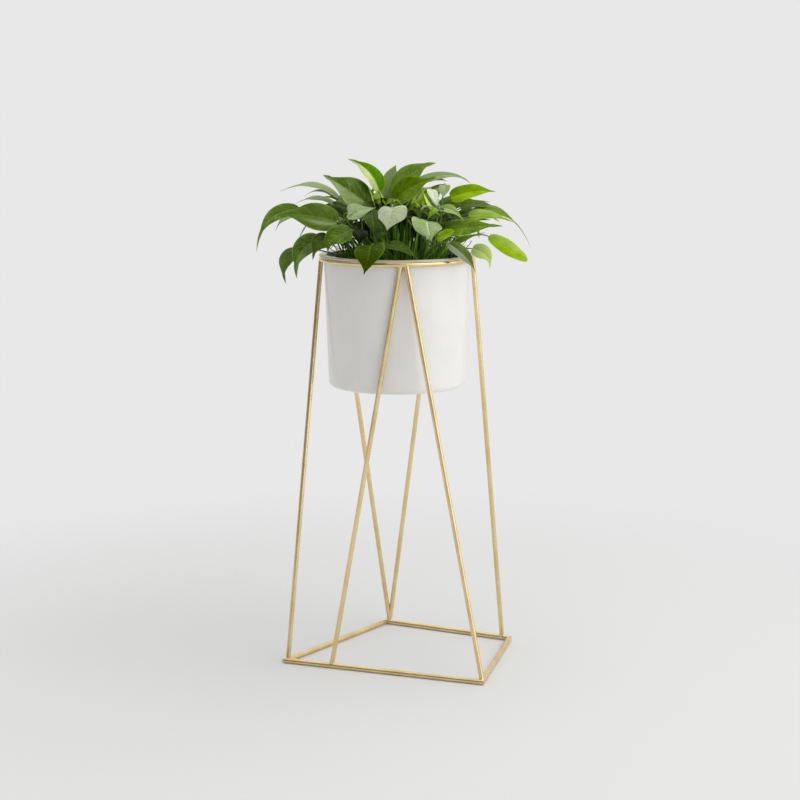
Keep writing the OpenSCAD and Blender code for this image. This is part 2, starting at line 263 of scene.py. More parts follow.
def put(tree: bpy.types.NodeTree, kind: str, inputs: dict | tuple = (), out: int | str = 0,
        **settings: str | bool) -> Socket | None:
    """Adds one node to a tree.

    Args:
        tree: the node tree.
        kind: the node's type, without the "ShaderNode" before it.
        inputs: values, hex colours or output sockets for its inputs, in their order, or by name or number.
        out: the name or number of the output to return.
        settings: the node's own properties.

    Returns:
        The output, or none from a node that has none.
    """
    node = tree.nodes.new("ShaderNode" + kind)
    for key, value in settings.items():
        setattr(node, key, value)
    for key, value in inputs.items() if isinstance(inputs, dict) else enumerate(inputs):
        if isinstance(value, Socket):
            tree.links.new(value, node.inputs[key])
        else:
            node.inputs[key].default_value = linear(value) if isinstance(value, str) else value
    return node.outputs[out] if node.outputs else None


def per_metre(size_mm: float) -> float:
    """Returns the pattern scale at which a noise or wave repeats about every size_mm."""
    return 1.0 / (size_mm * MM)


class Finish:
    """A finish: its name and, in a class of its own for each, the nodes of its surface."""

    name = ""

    def surface(self, add: Adder) -> Socket:
        """Adds the nodes of the surface.

        Args:
            add: adds a node to the material's tree, as put does.

        Returns:
            The surface's shader.
        """
        raise NotImplementedError

    def build(self) -> bpy.types.Material:
        """Makes the material.

        Returns:
            The material, named for the real finish.
        """
        material = bpy.data.materials.new(self.name)
        material.use_nodes = True
        material.node_tree.nodes.clear()
        add = partial(put, material.node_tree)
        add("OutputMaterial", (self.surface(add),))
        return material


@dataclass(frozen=True)
class SatinGold(Finish):
    """Brass-plated steel wire, drawn, welded and lacquered to a satin shine.

    The lacquer softens what the metal mirrors into broad bands along each rod, and the drawing die leaves
    faint streaks lengthwise. The mark "drawn" holds a point's place on the rod: across the section in
    millimetres, and along it at a tenth of its length, so that the noise is stretched along the wire.
    """

    name = "satin_gold_plated_wire"
    pale: str = "#ecd8a8"
    deep: str = "#dcbf82"
    streak_mm: float = 1.1
    cloud_mm: float = 34.0

    def surface(self, add: Adder) -> Socket:
        """Adds the nodes of the wire.

        Args:
            add: adds a node to the material's tree, as put does.

        Returns:
            The wire's shader.
        """
        streaks = add("TexNoise", {
            "Vector": add("Attribute", (), "Vector", attribute_name="drawn"), "Scale": 1.0 / self.streak_mm,
            "Detail": 3.0, "Roughness": 0.6})
        clouds = add("TexNoise", {
            "Vector": add("TexCoord", (), "Object"), "Scale": per_metre(self.cloud_mm), "Detail": 2.0})
        tone = add("Math", (streaks, 0.45, clouds), operation="MULTIPLY_ADD")
        share = add("MapRange", (tone, 0.4, 0.9))
        return add("BsdfPrincipled", {
            "Base Color": add("Mix", {0: share, 6: self.deep, 7: self.pale}, 2, data_type="RGBA"),
            "Roughness": add("MapRange", (streaks, 0.3, 0.7, 0.22, 0.29)), "Metallic": 1.0,
            "Normal": add("Bump", {"Height": streaks, "Strength": 0.12, "Distance": 0.01 * MM})})


@dataclass(frozen=True)
class WhiteGlaze(Finish):
    """Slip-cast stoneware under a satin white glaze.

    The glaze is smooth and soft-glossy with a very slow orange-peel waviness, and a shade warmer where it
    lies thin. The rim's top is painted a darker greenish grey: painted shade and painted reflection of the
    leaves over it.
    """

    name = "satin_white_glazed_stoneware"
    white: str = "#f2f1ee"
    thin: str = "#f0eeea"
    # The rim's top colour: painted shade and painted reflection of the leaves over it.
    rim: str = "#b9b594"
    rim_shade_low: float = 602.6
    rim_shade_high: float = 604.2
    wave_mm: float = 45.0
    peel_mm: float = 2.6

    def surface(self, add: Adder) -> Socket:
        """Adds the nodes of the glaze.

        Args:
            add: adds a node to the material's tree, as put does.

        Returns:
            The glaze's shader.
        """
        place = add("TexCoord", (), "Object")
        waves, peel = (add("TexNoise", {"Vector": place, "Scale": per_metre(size), "Detail": 1.0})
                       for size in (self.wave_mm, self.peel_mm))
        glaze = add("Mix", {
            0: add("MapRange", (waves, 0.35, 0.65)), 6: self.thin, 7: self.white}, 2, data_type="RGBA")
        # Painted shade and painted reflection: the rim's top takes the darker rim colour.
        rim_painted_shade = add("MapRange", (add("SeparateXYZ", (place,), 2), self.rim_shade_low * MM, self.rim_shade_high * MM),
                     interpolation_type="SMOOTHSTEP")
        height = add("Math", (waves, 3.0, peel), operation="MULTIPLY_ADD")
        bump = add("Bump", {"Height": height, "Strength": 0.1, "Distance": 0.03 * MM})
        return add("BsdfPrincipled", {
            "Base Color": add("Mix", {0: rim_painted_shade, 6: glaze, 7: self.rim}, 2, data_type="RGBA"),
            "Roughness": 0.38, "IOR": 1.5, "Coat Weight": 0.5, "Coat Roughness": 0.14,
            "Normal": bump, "Coat Normal": bump})


@dataclass(frozen=True)
class MouldedPot(Finish):
    """Thin injection-moulded polypropylene: brown, matt, with a fine sparked grain and pale scuffs."""

    name = "moulded_brown_polypropylene"
    brown: str = "#4a3a30"
    worn: str = "#5d4b3f"
    grain_mm: float = 0.9
    scuff_mm: float = 30.0

    def surface(self, add: Adder) -> Socket:
        """Adds the nodes of the plastic.

        Args:
            add: adds a node to the material's tree, as put does.

        Returns:
            The plastic's shader.
        """
        place = add("TexCoord", (), "Object")
        grain = add("TexNoise", {"Vector": place, "Scale": per_metre(self.grain_mm), "Detail": 2.0})
        scuffs = add("TexNoise", {"Vector": place, "Scale": per_metre(self.scuff_mm), "Detail": 5.0})
        share = add("MapRange", (scuffs, 0.5, 0.75))
        return add("BsdfPrincipled", {
            "Base Color": add("Mix", {0: share, 6: self.brown, 7: self.worn}, 2, data_type="RGBA"),
            "Roughness": 0.55,
            "Normal": add("Bump", {"Height": grain, "Strength": 0.5, "Distance": 0.05 * MM})})


@dataclass(frozen=True)
class PottingMix(Finish):
    """Damp peat with bark and a little perlite: nearly black, rough, with pale specks."""

    name = "damp_potting_mix"
    peat: str = "#2b2019"
    bark: str = "#5a4332"
    speck: str = "#b9b2a4"
    crumb_mm: float = 3.2

    def surface(self, add: Adder) -> Socket:
        """Adds the nodes of the soil.

        Args:
            add: adds a node to the material's tree, as put does.

        Returns:
            The soil's shader.
        """
        distance, colour = add("TexVoronoi", {
            "Vector": add("TexCoord", (), "Object"), "Scale": per_metre(self.crumb_mm)}).node.outputs[:2]
        kind, luck = add("SeparateColor", (colour,)).node.outputs[:2]
        brown = add("Mix", {0: kind, 6: self.peat, 7: self.bark}, 2, data_type="RGBA")
        specks = add("MapRange", (luck, 0.93, 0.95))
        return add("BsdfPrincipled", {
            "Base Color": add("Mix", {0: specks, 6: brown, 7: self.speck}, 2, data_type="RGBA"),
            "Roughness": 0.88,
            "Normal": add("Bump", {"Height": distance, "Strength": 0.9, "Distance": 0.8 * MM}, invert=True)})


class Look(Enum):
    """The four tones of leaf on the plant, with the record's slot for each: dark, mid and bright from old to
    new growth, and pale, a painted sheen: the gloss of leaves that face the lamps painted into their colour.
    """

    DARK = "leaf_dark"
    MID = "leaf_mid"
    BRIGHT = "leaf_bright"
    PALE = "leaf_pale"


@dataclass(frozen=True)
class LeafSkin(Finish):
    """A living pothos leaf: a waxy, semi-glossy upper skin over green flesh, matt and paler underneath.

    The mark "blade" holds a point's place on the leaf: across from -1 to 1, along from 0 to 1 (below 0 on
    the stalk), and 1 on the underside. The mark "leaf" holds the leaf's tint, which carries painted shade and
    painted sheen, its bloom and its half width in millimetres. Side veins leave the midrib and curve to the
    tip: their phase is the place along the blade less a share of the distance from the midrib, raised to a
    power.
    """

    look: Look
    shade: str
    light: str
    vein: str
    under: str
    roughness: float
    rib_show: float
    vein_show: float
    streak: str
    streak_show: float
    sheen: str = "#e8f8bc"
    stalk: str = "#74984a"
    mottle_mm: float = 16.0
    cell_mm: float = 0.8

    @property
    def name(self) -> str:
        """Returns the material's name."""
        return f"waxy_leaf_{self.look.name.lower()}"

    def surface(self, add: Adder) -> Socket:
        """Adds the nodes of the skin.

        Args:
            add: adds a node to the material's tree, as put does.

        Returns:
            The skin's shader.
        """
        across, along, beneath = add("SeparateXYZ", (
            add("Attribute", (), "Vector", attribute_name="blade"),)).node.outputs
        tint, bloom, width = add("SeparateXYZ", (
            add("Attribute", (), "Vector", attribute_name="leaf"),)).node.outputs
        place = add("TexCoord", (), "Object")
        out = add("Math", (across,), operation="ABSOLUTE")
        # Midrib: a pale line that narrows towards the tip. The margin is as pale, and very thin.
        rib_width = add("MapRange", (along, 0.0, 1.0, 0.075, 0.03))
        rib_place = add("Math", (out, rib_width), operation="DIVIDE")
        rib = add("MapRange", (rib_place, 0.45, 1.25, 1.0, 0.0), interpolation_type="SMOOTHSTEP")
        rib_line = add("Math", (rib, self.rib_show), operation="MULTIPLY")
        margin = add("MapRange", (out, 0.9, 0.99, 0.0, 0.35))
        rib_share = add("Math", (rib_line, margin), operation="MAXIMUM")
        # Side veins: narrow pale lines where the wave of their phase is near its crest, and fainter ones
        # between them.
        bent = add("Math", (out, VEIN_BEND), operation="POWER")
        phase = add("Math", (bent, -SWEEP, along), operation="MULTIPLY_ADD")
        turns = add("Math", (phase, TURN * VEINS), operation="MULTIPLY")
        line = add("MapRange", (add("Math", (turns,), operation="COSINE"), 0.55, 1.0))
        fine_turns = add("Math", (turns, 3.0), operation="MULTIPLY")
        fine_line = add("MapRange", (add("Math", (fine_turns,), operation="COSINE"), 0.3, 1.0, 0.0, 0.4))
        lines = add("Math", (line, fine_line), operation="MAXIMUM")
        side = add("Math", (lines, add("MapRange", (out, 0.5, 1.0, 1.0, 0.25))), operation="MULTIPLY")
        side_share = add("Math", (side, self.vein_show), operation="MULTIPLY")
        # Flesh: from the shade to the light colour by the leaf's tint, with slow faint clouds.
        mottle = add("TexNoise", {
            "Vector": place, "Scale": per_metre(self.mottle_mm), "Detail": 3.0, "Roughness": 0.5})
        tone = add("Math", (tint, 0.5, mottle), operation="MULTIPLY_ADD")
        flesh = add("Mix", {0: add("MapRange", (tone,)), 6: self.shade, 7: self.light}, 2, data_type="RGBA")
        # Streaks: uneven flecks that run out from the midrib along the side veins, different on each leaf.
        stretched = add("VectorMath", (
            add("CombineXYZ", (phase, across, width)), (25.0, 2.2, 0.7)), operation="MULTIPLY")
        fleck = add("TexNoise", {"Vector": stretched, "Scale": 1.0, "Detail": 4.0, "Roughness": 0.65})
        streaks = add("MapRange", (fleck, 0.46, 0.68, 0.0, self.streak_show))
        streaked = add("Mix", {0: streaks, 6: flesh, 7: self.streak}, 2, data_type="RGBA")
        # The skin's two sides, and one green for all the stalks.
        veined = add("Mix", {0: side_share, 6: streaked, 7: self.vein}, 2, data_type="RGBA")
        upper, lower = (add("Mix", {0: rib_share, 6: colour, 7: self.vein}, 2, data_type="RGBA")
                        for colour in (veined, self.under))
        skin = add("Mix", {0: beneath, 6: upper, 7: lower}, 2, data_type="RGBA")
        on_stalk = add("MapRange", (along, -0.03, 0.015, 1.0, 0.0))
        stalked = add("Mix", {0: on_stalk, 6: skin, 7: self.stalk}, 2, data_type="RGBA")
        # A bloomed leaf is greyer and a bare one greener; painted sheen greys it too. A tint below -1 darkens
        # it:
        # painted shade. A tint above 1 lightens it: painted sheen and painted light, and the lighter tone of
        # some new leaves.
        greener = add("Math", (bloom, -0.3, 1.0), operation="MULTIPLY_ADD")
        darker = add("MapRange", (tint, -4.0, -1.0, 0.08, 1.0))
        painted_sheen_and_tone = add("MapRange", (tint, 1.0, 4.0, 0.0, 0.9))
        value = add("Math", (darker, painted_sheen_and_tone), operation="ADD")
        # Relief: sunk veins and the fine cells of the skin.
        cells = add("TexNoise", {"Vector": place, "Scale": per_metre(self.cell_mm), "Detail": 1.0})
        grooves = add("Math", (side, -1.0, 1.0), operation="MULTIPLY_ADD")
        relief = add("Math", (cells, 0.25, grooves), operation="MULTIPLY_ADD")
        gloss = add("MapRange", (mottle, 0.3, 0.7, self.roughness - 0.03, self.roughness + 0.04))
        return add("BsdfPrincipled", {
            "Base Color": add("HueSaturation", {"Saturation": greener, "Value": value, "Color": stalked}),
            "Roughness": add("Mix", {0: beneath, 2: gloss, 3: 0.62}, data_type="FLOAT"),
            "IOR": 1.45, "Specular IOR Level": 0.06, "Specular Tint": self.sheen,
            "Subsurface Weight": 0.2, "Subsurface Radius": (0.9, 1.6, 0.25), "Subsurface Scale": MM,
            "Normal": add("Bump", {"Height": relief, "Strength": 0.5, "Distance": 0.18 * MM})})


# ---- the stand


@dataclass(frozen=True)
class Rod:
    """A straight round rod between two points of its centre line, in millimetres, named for its CAD node."""

    name: str
    start: Array
    end: Array
    radius: float

    def axes(self) -> tuple[Array, Array, Array]:
        """Works out the rod's own axes.

        Returns:
            The rod's direction and two directions square to it, in right-handed order.
        """
        way = unit(self.end - self.start)
        first = unit(np.cross([0.0, 0.0, 1.0], way))
        return way, first, np.cross(way, first)

    def offsets(self, radius: Array | float, columns: int) -> Array:
        """Spreads points evenly round the rod: radius times (cos a first + sin a second).

        Args:
            radius: their distance from the centre line.
            columns: how many there are.

        Returns:
            Their offsets from the centre line.
        """
        _, first, second = self.axes()
        a = ring_angles(columns)[:, None]
        return radius * (np.cos(a) * first + np.sin(a) * second)

    def drawn(self, s: Array) -> Array:
        """Returns the mark "drawn" of points round the rod, at distances s from its start."""
        a = ring_angles(s.shape[-1])
        return bundle(self.radius * np.cos(a), self.radius * np.sin(a), 0.1 * s)

    def meet_bar(self, offsets: Array, at_start: bool, through: Array, along: Array, radius: float) -> Array:
        """Finds where lines along the rod's skin reach the skin of a round bar that the rod ends on.

        With the parts along the bar taken away, a line is p + s w and the bar a circle, so s solves the
        quadratic w.w s^2 + 2 w.p s + p.p - radius^2 = 0. A line that passes beside the bar stops level
        with it.

        Args:
            offsets: offsets of the lines from the rod's centre line.
            at_start: whether the bar is at the rod's start.
            through: a point of the bar's centre line.
            along: the bar's direction.
            radius: half the bar's thickness.

        Returns:
            For each line, the distance from the rod's start.
        """
        way, along = self.axes()[0], unit(along)
        p = self.start + offsets - through
        p = p - dot(p, along) * along
        w = way - np.dot(way, along) * along
        a, b, c = np.dot(w, w), p @ w, dot(p, p)[..., 0] - radius**2
        root = np.sqrt(np.maximum(b * b - a * c, 0.0))
        return (-b + root) / a if at_start else (-b - root) / a

    def meet_plane(self, offsets: Array, through: Array, normal: Array) -> Array:
        """Returns the distance from the rod's start at which lines along its skin reach a plane."""
        return ((through - self.start - offsets) @ normal) / np.dot(self.axes()[0], normal)


@dataclass(frozen=True)
class Stand:
    """The welded wire stand: a ring, six straight legs and four base bars.

    The sizes are those of the solids, in millimetres, and each rod replaces its own solid. The streaks along
    the ring are stretched as if a radian were ring_stretch long, and a fillet starts sunk in by that share of
    its length, so that it leaves no slit.
    """

    ring_d: float = 224.0
    ring_rod_d: float = 7.0
    ring_h: float = 599.0
    bar_d: float = 8.0
    bar_flat: float = 0.4
    front_left: tuple[float, float] = (-131.0, -122.0)
    front_right: tuple[float, float] = (175.0, -122.0)
    back_right: tuple[float, float] = (147.0, 105.0)
    back_left: tuple[float, float] = (-66.0, 129.0)
    leg_d: float = 7.0
    left_angle: float = 200.0
    front_angle: float = 295.0
    front_pair: float = 8.0
    right_angle: float = 20.0
    back_right_angle: float = 77.0
    back_left_angle: float = 165.0
    middle_foot: float = 73.0
    corner_foot: float = 4.0
    right_foot: float = 12.0
    back_foot: float = 6.0
    weld: float = 0.5
    sunk: float = 0.25
    ring_stretch: float = 8.0
    ring_rows: int = 240
    leg_rows: int = 24
    bar_rows: int = 40
    rod_columns: int = 40
    bar_columns: int = 48

    def corners(self) -> Array:
        """Returns the base's corners on the bars' centre lines, from the front left one to the right."""
        plan = self.front_left, self.front_right, self.back_right, self.back_left
        return np.array([(*place, self.bar_d / 2.0 - self.bar_flat) for place in plan])

    def ring(self, finish: bpy.types.Material) -> bpy.types.Object:
        """Builds the ring.

        A point is the ring's centre line at direction b, plus the rod's radius times the cosine of a outwards
        and the sine of a upwards.

        Args:
            finish: its material.

        Returns:
            The ring.
        """
        b, a = ring_angles(self.ring_rows)[:, None], ring_angles(self.rod_columns)
        r = self.ring_rod_d / 2.0
        reach = self.ring_d / 2.0 + r * np.cos(a)
        points = bundle(reach * np.cos(b), reach * np.sin(b), self.ring_h + r * np.sin(a))
        # The distance runs up one half and down the other, so that the streaks match where the ring closes.
        along = self.ring_stretch * np.abs(np.angle(np.exp(1j * b)))
        drawn = bundle(r * np.cos(a), r * np.sin(a), along)
        return make_piece("gold_ring", [Surface(points, {"drawn": drawn}, loop=True, flip=True)], finish)

    def legs(self) -> list[tuple[Rod, tuple[Array, Array], tuple[Array, Array]]]:
        """Lists the legs.

        Returns:
            For each leg its rod, a point and direction of the bar under it, and a point and direction of the
            ring over it.
        """
        half = math.degrees(math.asin(self.front_pair / self.ring_d))
        fl, fr, br, bl = self.corners()
        found = []
        for name, angle, first, second, distance in (
                ("leg_left", self.left_angle, fl, bl, self.corner_foot),
                ("leg_front_middle", self.front_angle - half, fl, fr, self.middle_foot),
                ("leg_front_right", self.front_angle + half, fr, br, self.corner_foot),
                ("leg_right", self.right_angle, br, bl, self.right_foot),
                ("leg_back_left", self.back_left_angle, bl, br, self.back_foot),
                ("leg_back_right", self.back_right_angle, bl, br, self.back_foot)):
            foot = first + unit(second - first) * distance
            top = polar(self.ring_d / 2.0, angle, self.ring_h)
            found.append((Rod(name, foot, top, self.leg_d / 2.0), (foot, second - first),
                          (top, polar(1.0, angle + 90.0, 0.0))))
        return found

    def leg_piece(self, rod: Rod, bar: tuple[Array, Array], ring: tuple[Array, Array],
                  beside: Array | None, finish: bpy.types.Material) -> bpy.types.Object:
        """Builds one leg with its weld fillets.

        Each ring of points lies a set distance from where its lines meet the bar or the ring. Near an end the
        radius grows by the weld's size times (1 - u) squared, where u is the distance from the end as a share
        of the fillet's length, which draws the concave fillet of a ground weld.

        Args:
            rod: the leg.
            bar: a point and the direction of the bar under it.
            ring: a point and the direction of the ring over it.
            beside: the normal of the upright plane that parts it from the leg with which it shares a foot.
            finish: its material.

        Returns:
            The leg.
        """
        fillet = 2.0 * self.weld
        steps = fillet * np.array([-self.sunk, 0.0, 0.12, 0.3, 0.55, 0.8, 1.0])[:, None]
        grow = self.weld * (1.0 - np.maximum(steps, 0.0) / fillet) ** 2
        ends = rod.offsets(rod.radius + grow[..., None], self.rod_columns)
        low = rod.meet_bar(ends, True, *bar, self.bar_d / 2.0) + steps
        high = rod.meet_bar(ends, False, *ring, self.ring_rod_d / 2.0) - steps
        shares = np.linspace(0.0, 1.0, self.leg_rows + 2)[1:-1, None]
        plain = np.repeat(rod.offsets(rod.radius, self.rod_columns)[None], self.leg_rows, axis=0)
        offsets = np.concatenate([ends, plain, ends[::-1]])
        s = np.concatenate([low, low[-1] + (high[-1] - low[-1]) * shares, high[::-1]])
        if beside is not None:
            s = np.where(offsets @ beside < 0.0, np.maximum(s, rod.meet_plane(offsets, rod.start, beside)), s)
        points = rod.start + offsets + s[..., None] * rod.axes()[0]
        return make_piece(f"gold_{rod.name}", [Surface(points, {"drawn": rod.drawn(s)})], finish)

    def bar_piece(self, name: str, corners: Array, finish: bpy.types.Material) -> bpy.types.Object:
        """Builds one base bar, mitred at both ends and dressed flat underneath.

        Lines along the bar end on the upright planes that halve its corners, and a point lower than the floor
        is lifted to it.

        Args:
            name: the CAD node that it stands for.
            corners: the base's corners in their order, from the bar's first one.
            finish: its material.

        Returns:
            The bar.
        """
        a, b, after, before = corners
        rod = Rod(name, a, b, self.bar_d / 2.0)
        way = rod.axes()[0]
        offsets = rod.offsets(rod.radius, self.bar_columns)
        low = rod.meet_plane(offsets, a, way - unit(before - a))
        high = rod.meet_plane(offsets, b, -way - unit(after - b))
        s = low + (high - low) * np.linspace(0.0, 1.0, self.bar_rows)[:, None]
        points = rod.start + offsets + s[..., None] * way
        points[..., 2] = np.maximum(points[..., 2], 0.0)
        return make_piece(f"gold_{name}", [Surface(points, {"drawn": rod.drawn(s)})], finish, sharp=35.0)

    def build(self) -> None:
        """Builds and dresses the ring, the legs and the base bars."""
        finish = SatinGold().build()
        pieces = [(self.ring(finish), "top_ring")]
        legs = self.legs()
        # The last two legs share a foot, and each is cut off at the plane halfway between them.
        parting = legs[-2][0].axes()[0] - legs[-1][0].axes()[0]
        for (rod, bar, ring), beside in zip(legs, (None, None, None, None, parting, -parting)):
            pieces.append((self.leg_piece(rod, bar, ring, beside, finish), rod.name))
        for k, side in enumerate(("front", "right", "back", "left")):
            name = f"base_{side}_bar"
            pieces.append((self.bar_piece(name, np.roll(self.corners(), -k, axis=0), finish), name))
        for piece, node in pieces:
            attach(piece, "stand")
            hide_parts(node)
            log.info("%s replaces %s", piece.name, node)


# ---- planter, pot and soil


@dataclass(frozen=True)
class Planter:
    """The white glazed planter, which hangs in the ring by its rim, and the brown pot inside it."""

    height: float = 196.0
    wall: float = 4.0
    slope: float = 2.0
    edge: float = 8.0
    rim_radius: float = 115.5
    rim_round: float = 1.26
    neck_radius: float = 108.0
    neck_z: float = 599.0
    seat_z: float = 602.5
    seat_round: float = 0.8
    brow_round: float = 1.3
    axis_gap: float = 2.0
    edge_gap: float = 4.0

    def side_radius(self, z: Array | float) -> Array | float:
        """Returns the outside radius of the sloping side at a height."""
        return self.neck_radius + (z - self.neck_z) * math.tan(math.radians(self.slope))

    def profile(self) -> Array:
        """Draws the half outline: foot, round edge, sloping side, rim, and the same way down inside.

        Returns:
            Radius and height of each point.
        """
        foot_z, seat = RIM_Z - self.height, self.seat_round
        floor_z, inner_edge = foot_z + self.wall, self.edge - self.wall / 2.0
        lean = math.tan(math.radians(45.0 - self.slope / 2.0))
        foot_x = self.side_radius(foot_z) - self.edge * lean
        floor_x = self.side_radius(floor_z) - self.wall - inner_edge * lean
        side_z = np.linspace(foot_z + self.edge, self.seat_z - seat, 28)[1:]
        inner_z = np.linspace(RIM_Z - 2.0, floor_z + inner_edge, 28)[1:]
        lip_x = self.rim_radius - self.rim_round
        brow_x = self.side_radius(RIM_Z) - self.wall + self.brow_round
        return np.concatenate([
            bundle(np.linspace(self.axis_gap, foot_x - self.edge_gap, 6), foot_z),
            arc(foot_x, foot_z + self.edge, self.edge, -90.0, -self.slope, 14),
            bundle(self.side_radius(side_z), side_z),
            arc(self.side_radius(self.seat_z) + seat, self.seat_z - seat, seat, 180.0, 90.0, 4),
            arc(lip_x, self.seat_z + self.rim_round, self.rim_round, -90.0, 0.0, 6),
            arc(lip_x, RIM_Z - self.rim_round, self.rim_round, 0.0, 90.0, 6),
            arc(brow_x, RIM_Z - self.brow_round, self.brow_round, 90.0, 180.0, 6),
            bundle(self.side_radius(inner_z) - self.wall, inner_z),
            arc(floor_x, floor_z + inner_edge, inner_edge, -self.slope, -90.0, 12),
            bundle(np.linspace(floor_x - self.edge_gap, self.axis_gap, 6), floor_z)])

    def build(self, nodes: dict[str, bpy.types.Object]) -> None:
        """Builds the glazed planter and dresses the grow pot's own solid.

        Args:
            nodes: the objects of the CAD nodes, by name.
        """
        piece = make_piece("glazed_planter", [lathe(self.profile(), 200)], WhiteGlaze().build(), sharp=60.0)
        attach(piece, "planter")
        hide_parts("planter")
        log.info("%s replaces planter", piece.name)
        pot = nodes["grow_pot"]
        pot.data.materials.clear()
        pot.data.materials.append(MouldedPot().build())
        log.info("grow_pot keeps its solid")


@dataclass(frozen=True)
class Soil:
    """The potting mix: a lumpy surface with loose crumbs on it, filling the grow pot.

    Each wave of the surface is its length, its direction and its phase.
    """

    bottom: float = 419.1
    top_radius: float = 93.2
    bottom_radius: float = 77.9
    lump: float = 2.2
    waves: tuple[Point, ...] = ((41.0, 0.4, 1.0), (23.0, 2.0, 0.2), (13.0, 3.7, 2.1), (7.0, 5.1, 4.0))
    crumbs: int = 300
    crumb_radius: float = 2.4

    def heights(self, x: Array, y: Array) -> Array:
        """Works out the lumps: crossing sine waves as high as they are long, their sum lowered by its crest.

        Args:
            x: places across.
            y: places from front to back.

        Returns:
            The lumps' heights over the soil's level there.
        """
        total = sum(length / self.waves[0][0]
                    * np.sin(TURN * (x * math.cos(angle) + y * math.sin(angle)) / length + phase)
                    for length, angle, phase in self.waves)
        return self.lump * (total / 2.0 - 1.0) * 0.5

    def body(self) -> Surface:
        """Builds the soil's body: a plug with a lumpy top of rings that close on the axis.

        Returns:
            The surface.
        """
        side, top_rings = 7, 46
        radii = [np.linspace(3.0, self.bottom_radius, 5),
                 np.linspace(self.bottom_radius, self.top_radius, side + 1)[1:],
                 np.linspace(self.top_radius - 0.8, 1.5, top_rings)]
        z = [np.full(5, self.bottom), np.linspace(self.bottom, SOIL_Z - 2.0, side + 1)[1:],
             np.full(top_rings, SOIL_Z)]
        surface = lathe(bundle(np.concatenate(radii), np.concatenate(z)), 160)
        top = surface.points[-top_rings:]
        top[..., 2] += self.heights(top[..., 0], top[..., 1])
        return surface

    def crumb(self, centre: Array, radius: float, squash: float, bend: float) -> Surface:
        """Builds one crumb: a ball of six rings, flattened and wrinkled by a wave round its middle.

        Args:
            centre: its middle.
            radius: its radius.
            squash: its height and depth as a share of its width.
            bend: the phase of the wave.

        Returns:
            The surface.
        """
        v = np.linspace(0.35, math.pi - 0.35, 6)[:, None]
        a = ring_angles(8)
        r = radius * (1.0 + 0.22 * np.sin(3.0 * a + bend) * np.sin(v) + 0.12 * np.cos(2.0 * v + bend))
        return Surface(centre + bundle(
            r * np.sin(v) * np.cos(a), r * np.sin(v) * np.sin(a) * squash, -r * np.cos(v) * squash))

    def build(self) -> None:
        """Builds and dresses the soil."""
        rng = np.random.default_rng(11)
        surfaces = [self.body()]
        for _ in range(self.crumbs):
            reach, angle = self.top_radius * 0.96 * math.sqrt(rng.random()), rng.random() * 360.0
            centre = polar(reach, angle, SOIL_Z)
            size = self.crumb_radius * (0.4 + 0.6 * rng.random())
            centre[2] += self.heights(centre[0], centre[1]) + 0.2 * size
            surfaces.append(self.crumb(centre, size, 0.6 + 0.3 * rng.random(), 6.0 * rng.random()))
        piece = make_piece("potting_mix", surfaces, PottingMix().build())
        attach(piece, "plant")
        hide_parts("potting_soil")
        log.info("%s replaces potting_soil", piece.name)


# ---- the plant


@dataclass(frozen=True)
class Leaf:
    """One leaf, by three points of its blade's midrib.

    Attributes:
        name: its node's name without "leaf_".
        base: where the blade begins: across, behind the pot's middle, and above its rim, in millimetres.
        middle: a point halfway along the midrib.
        tip: the blade's tip.
        width: half the blade's width.
        turn: the degrees by which it turns its upper face to the front.
        tail: the share of its length that is a thin drip tip.
        look: its tone.
        tint: lighter above 0, darker below.
        bloom: greyer above 0, greener below.
        fold: how far its halves rise from the midrib, as a share of the usual.
        half: how much lighter its upper half is painted than the rest, or below 0 its lower half: painted
            light.
        shine: how strongly a painted glossy band, a painted highlight, shows on its lower half.
    """

    name: str
    base: Point
    middle: Point
    tip: Point
    width: float
    turn: float
    tail: float
    look: Look
    tint: float = 0.0
    bloom: float = 0.0
    fold: float = 1.0
    half: float = 0.0
    shine: float = 0.0


D, M, B, P = Look.DARK, Look.MID, Look.BRIGHT, Look.PALE

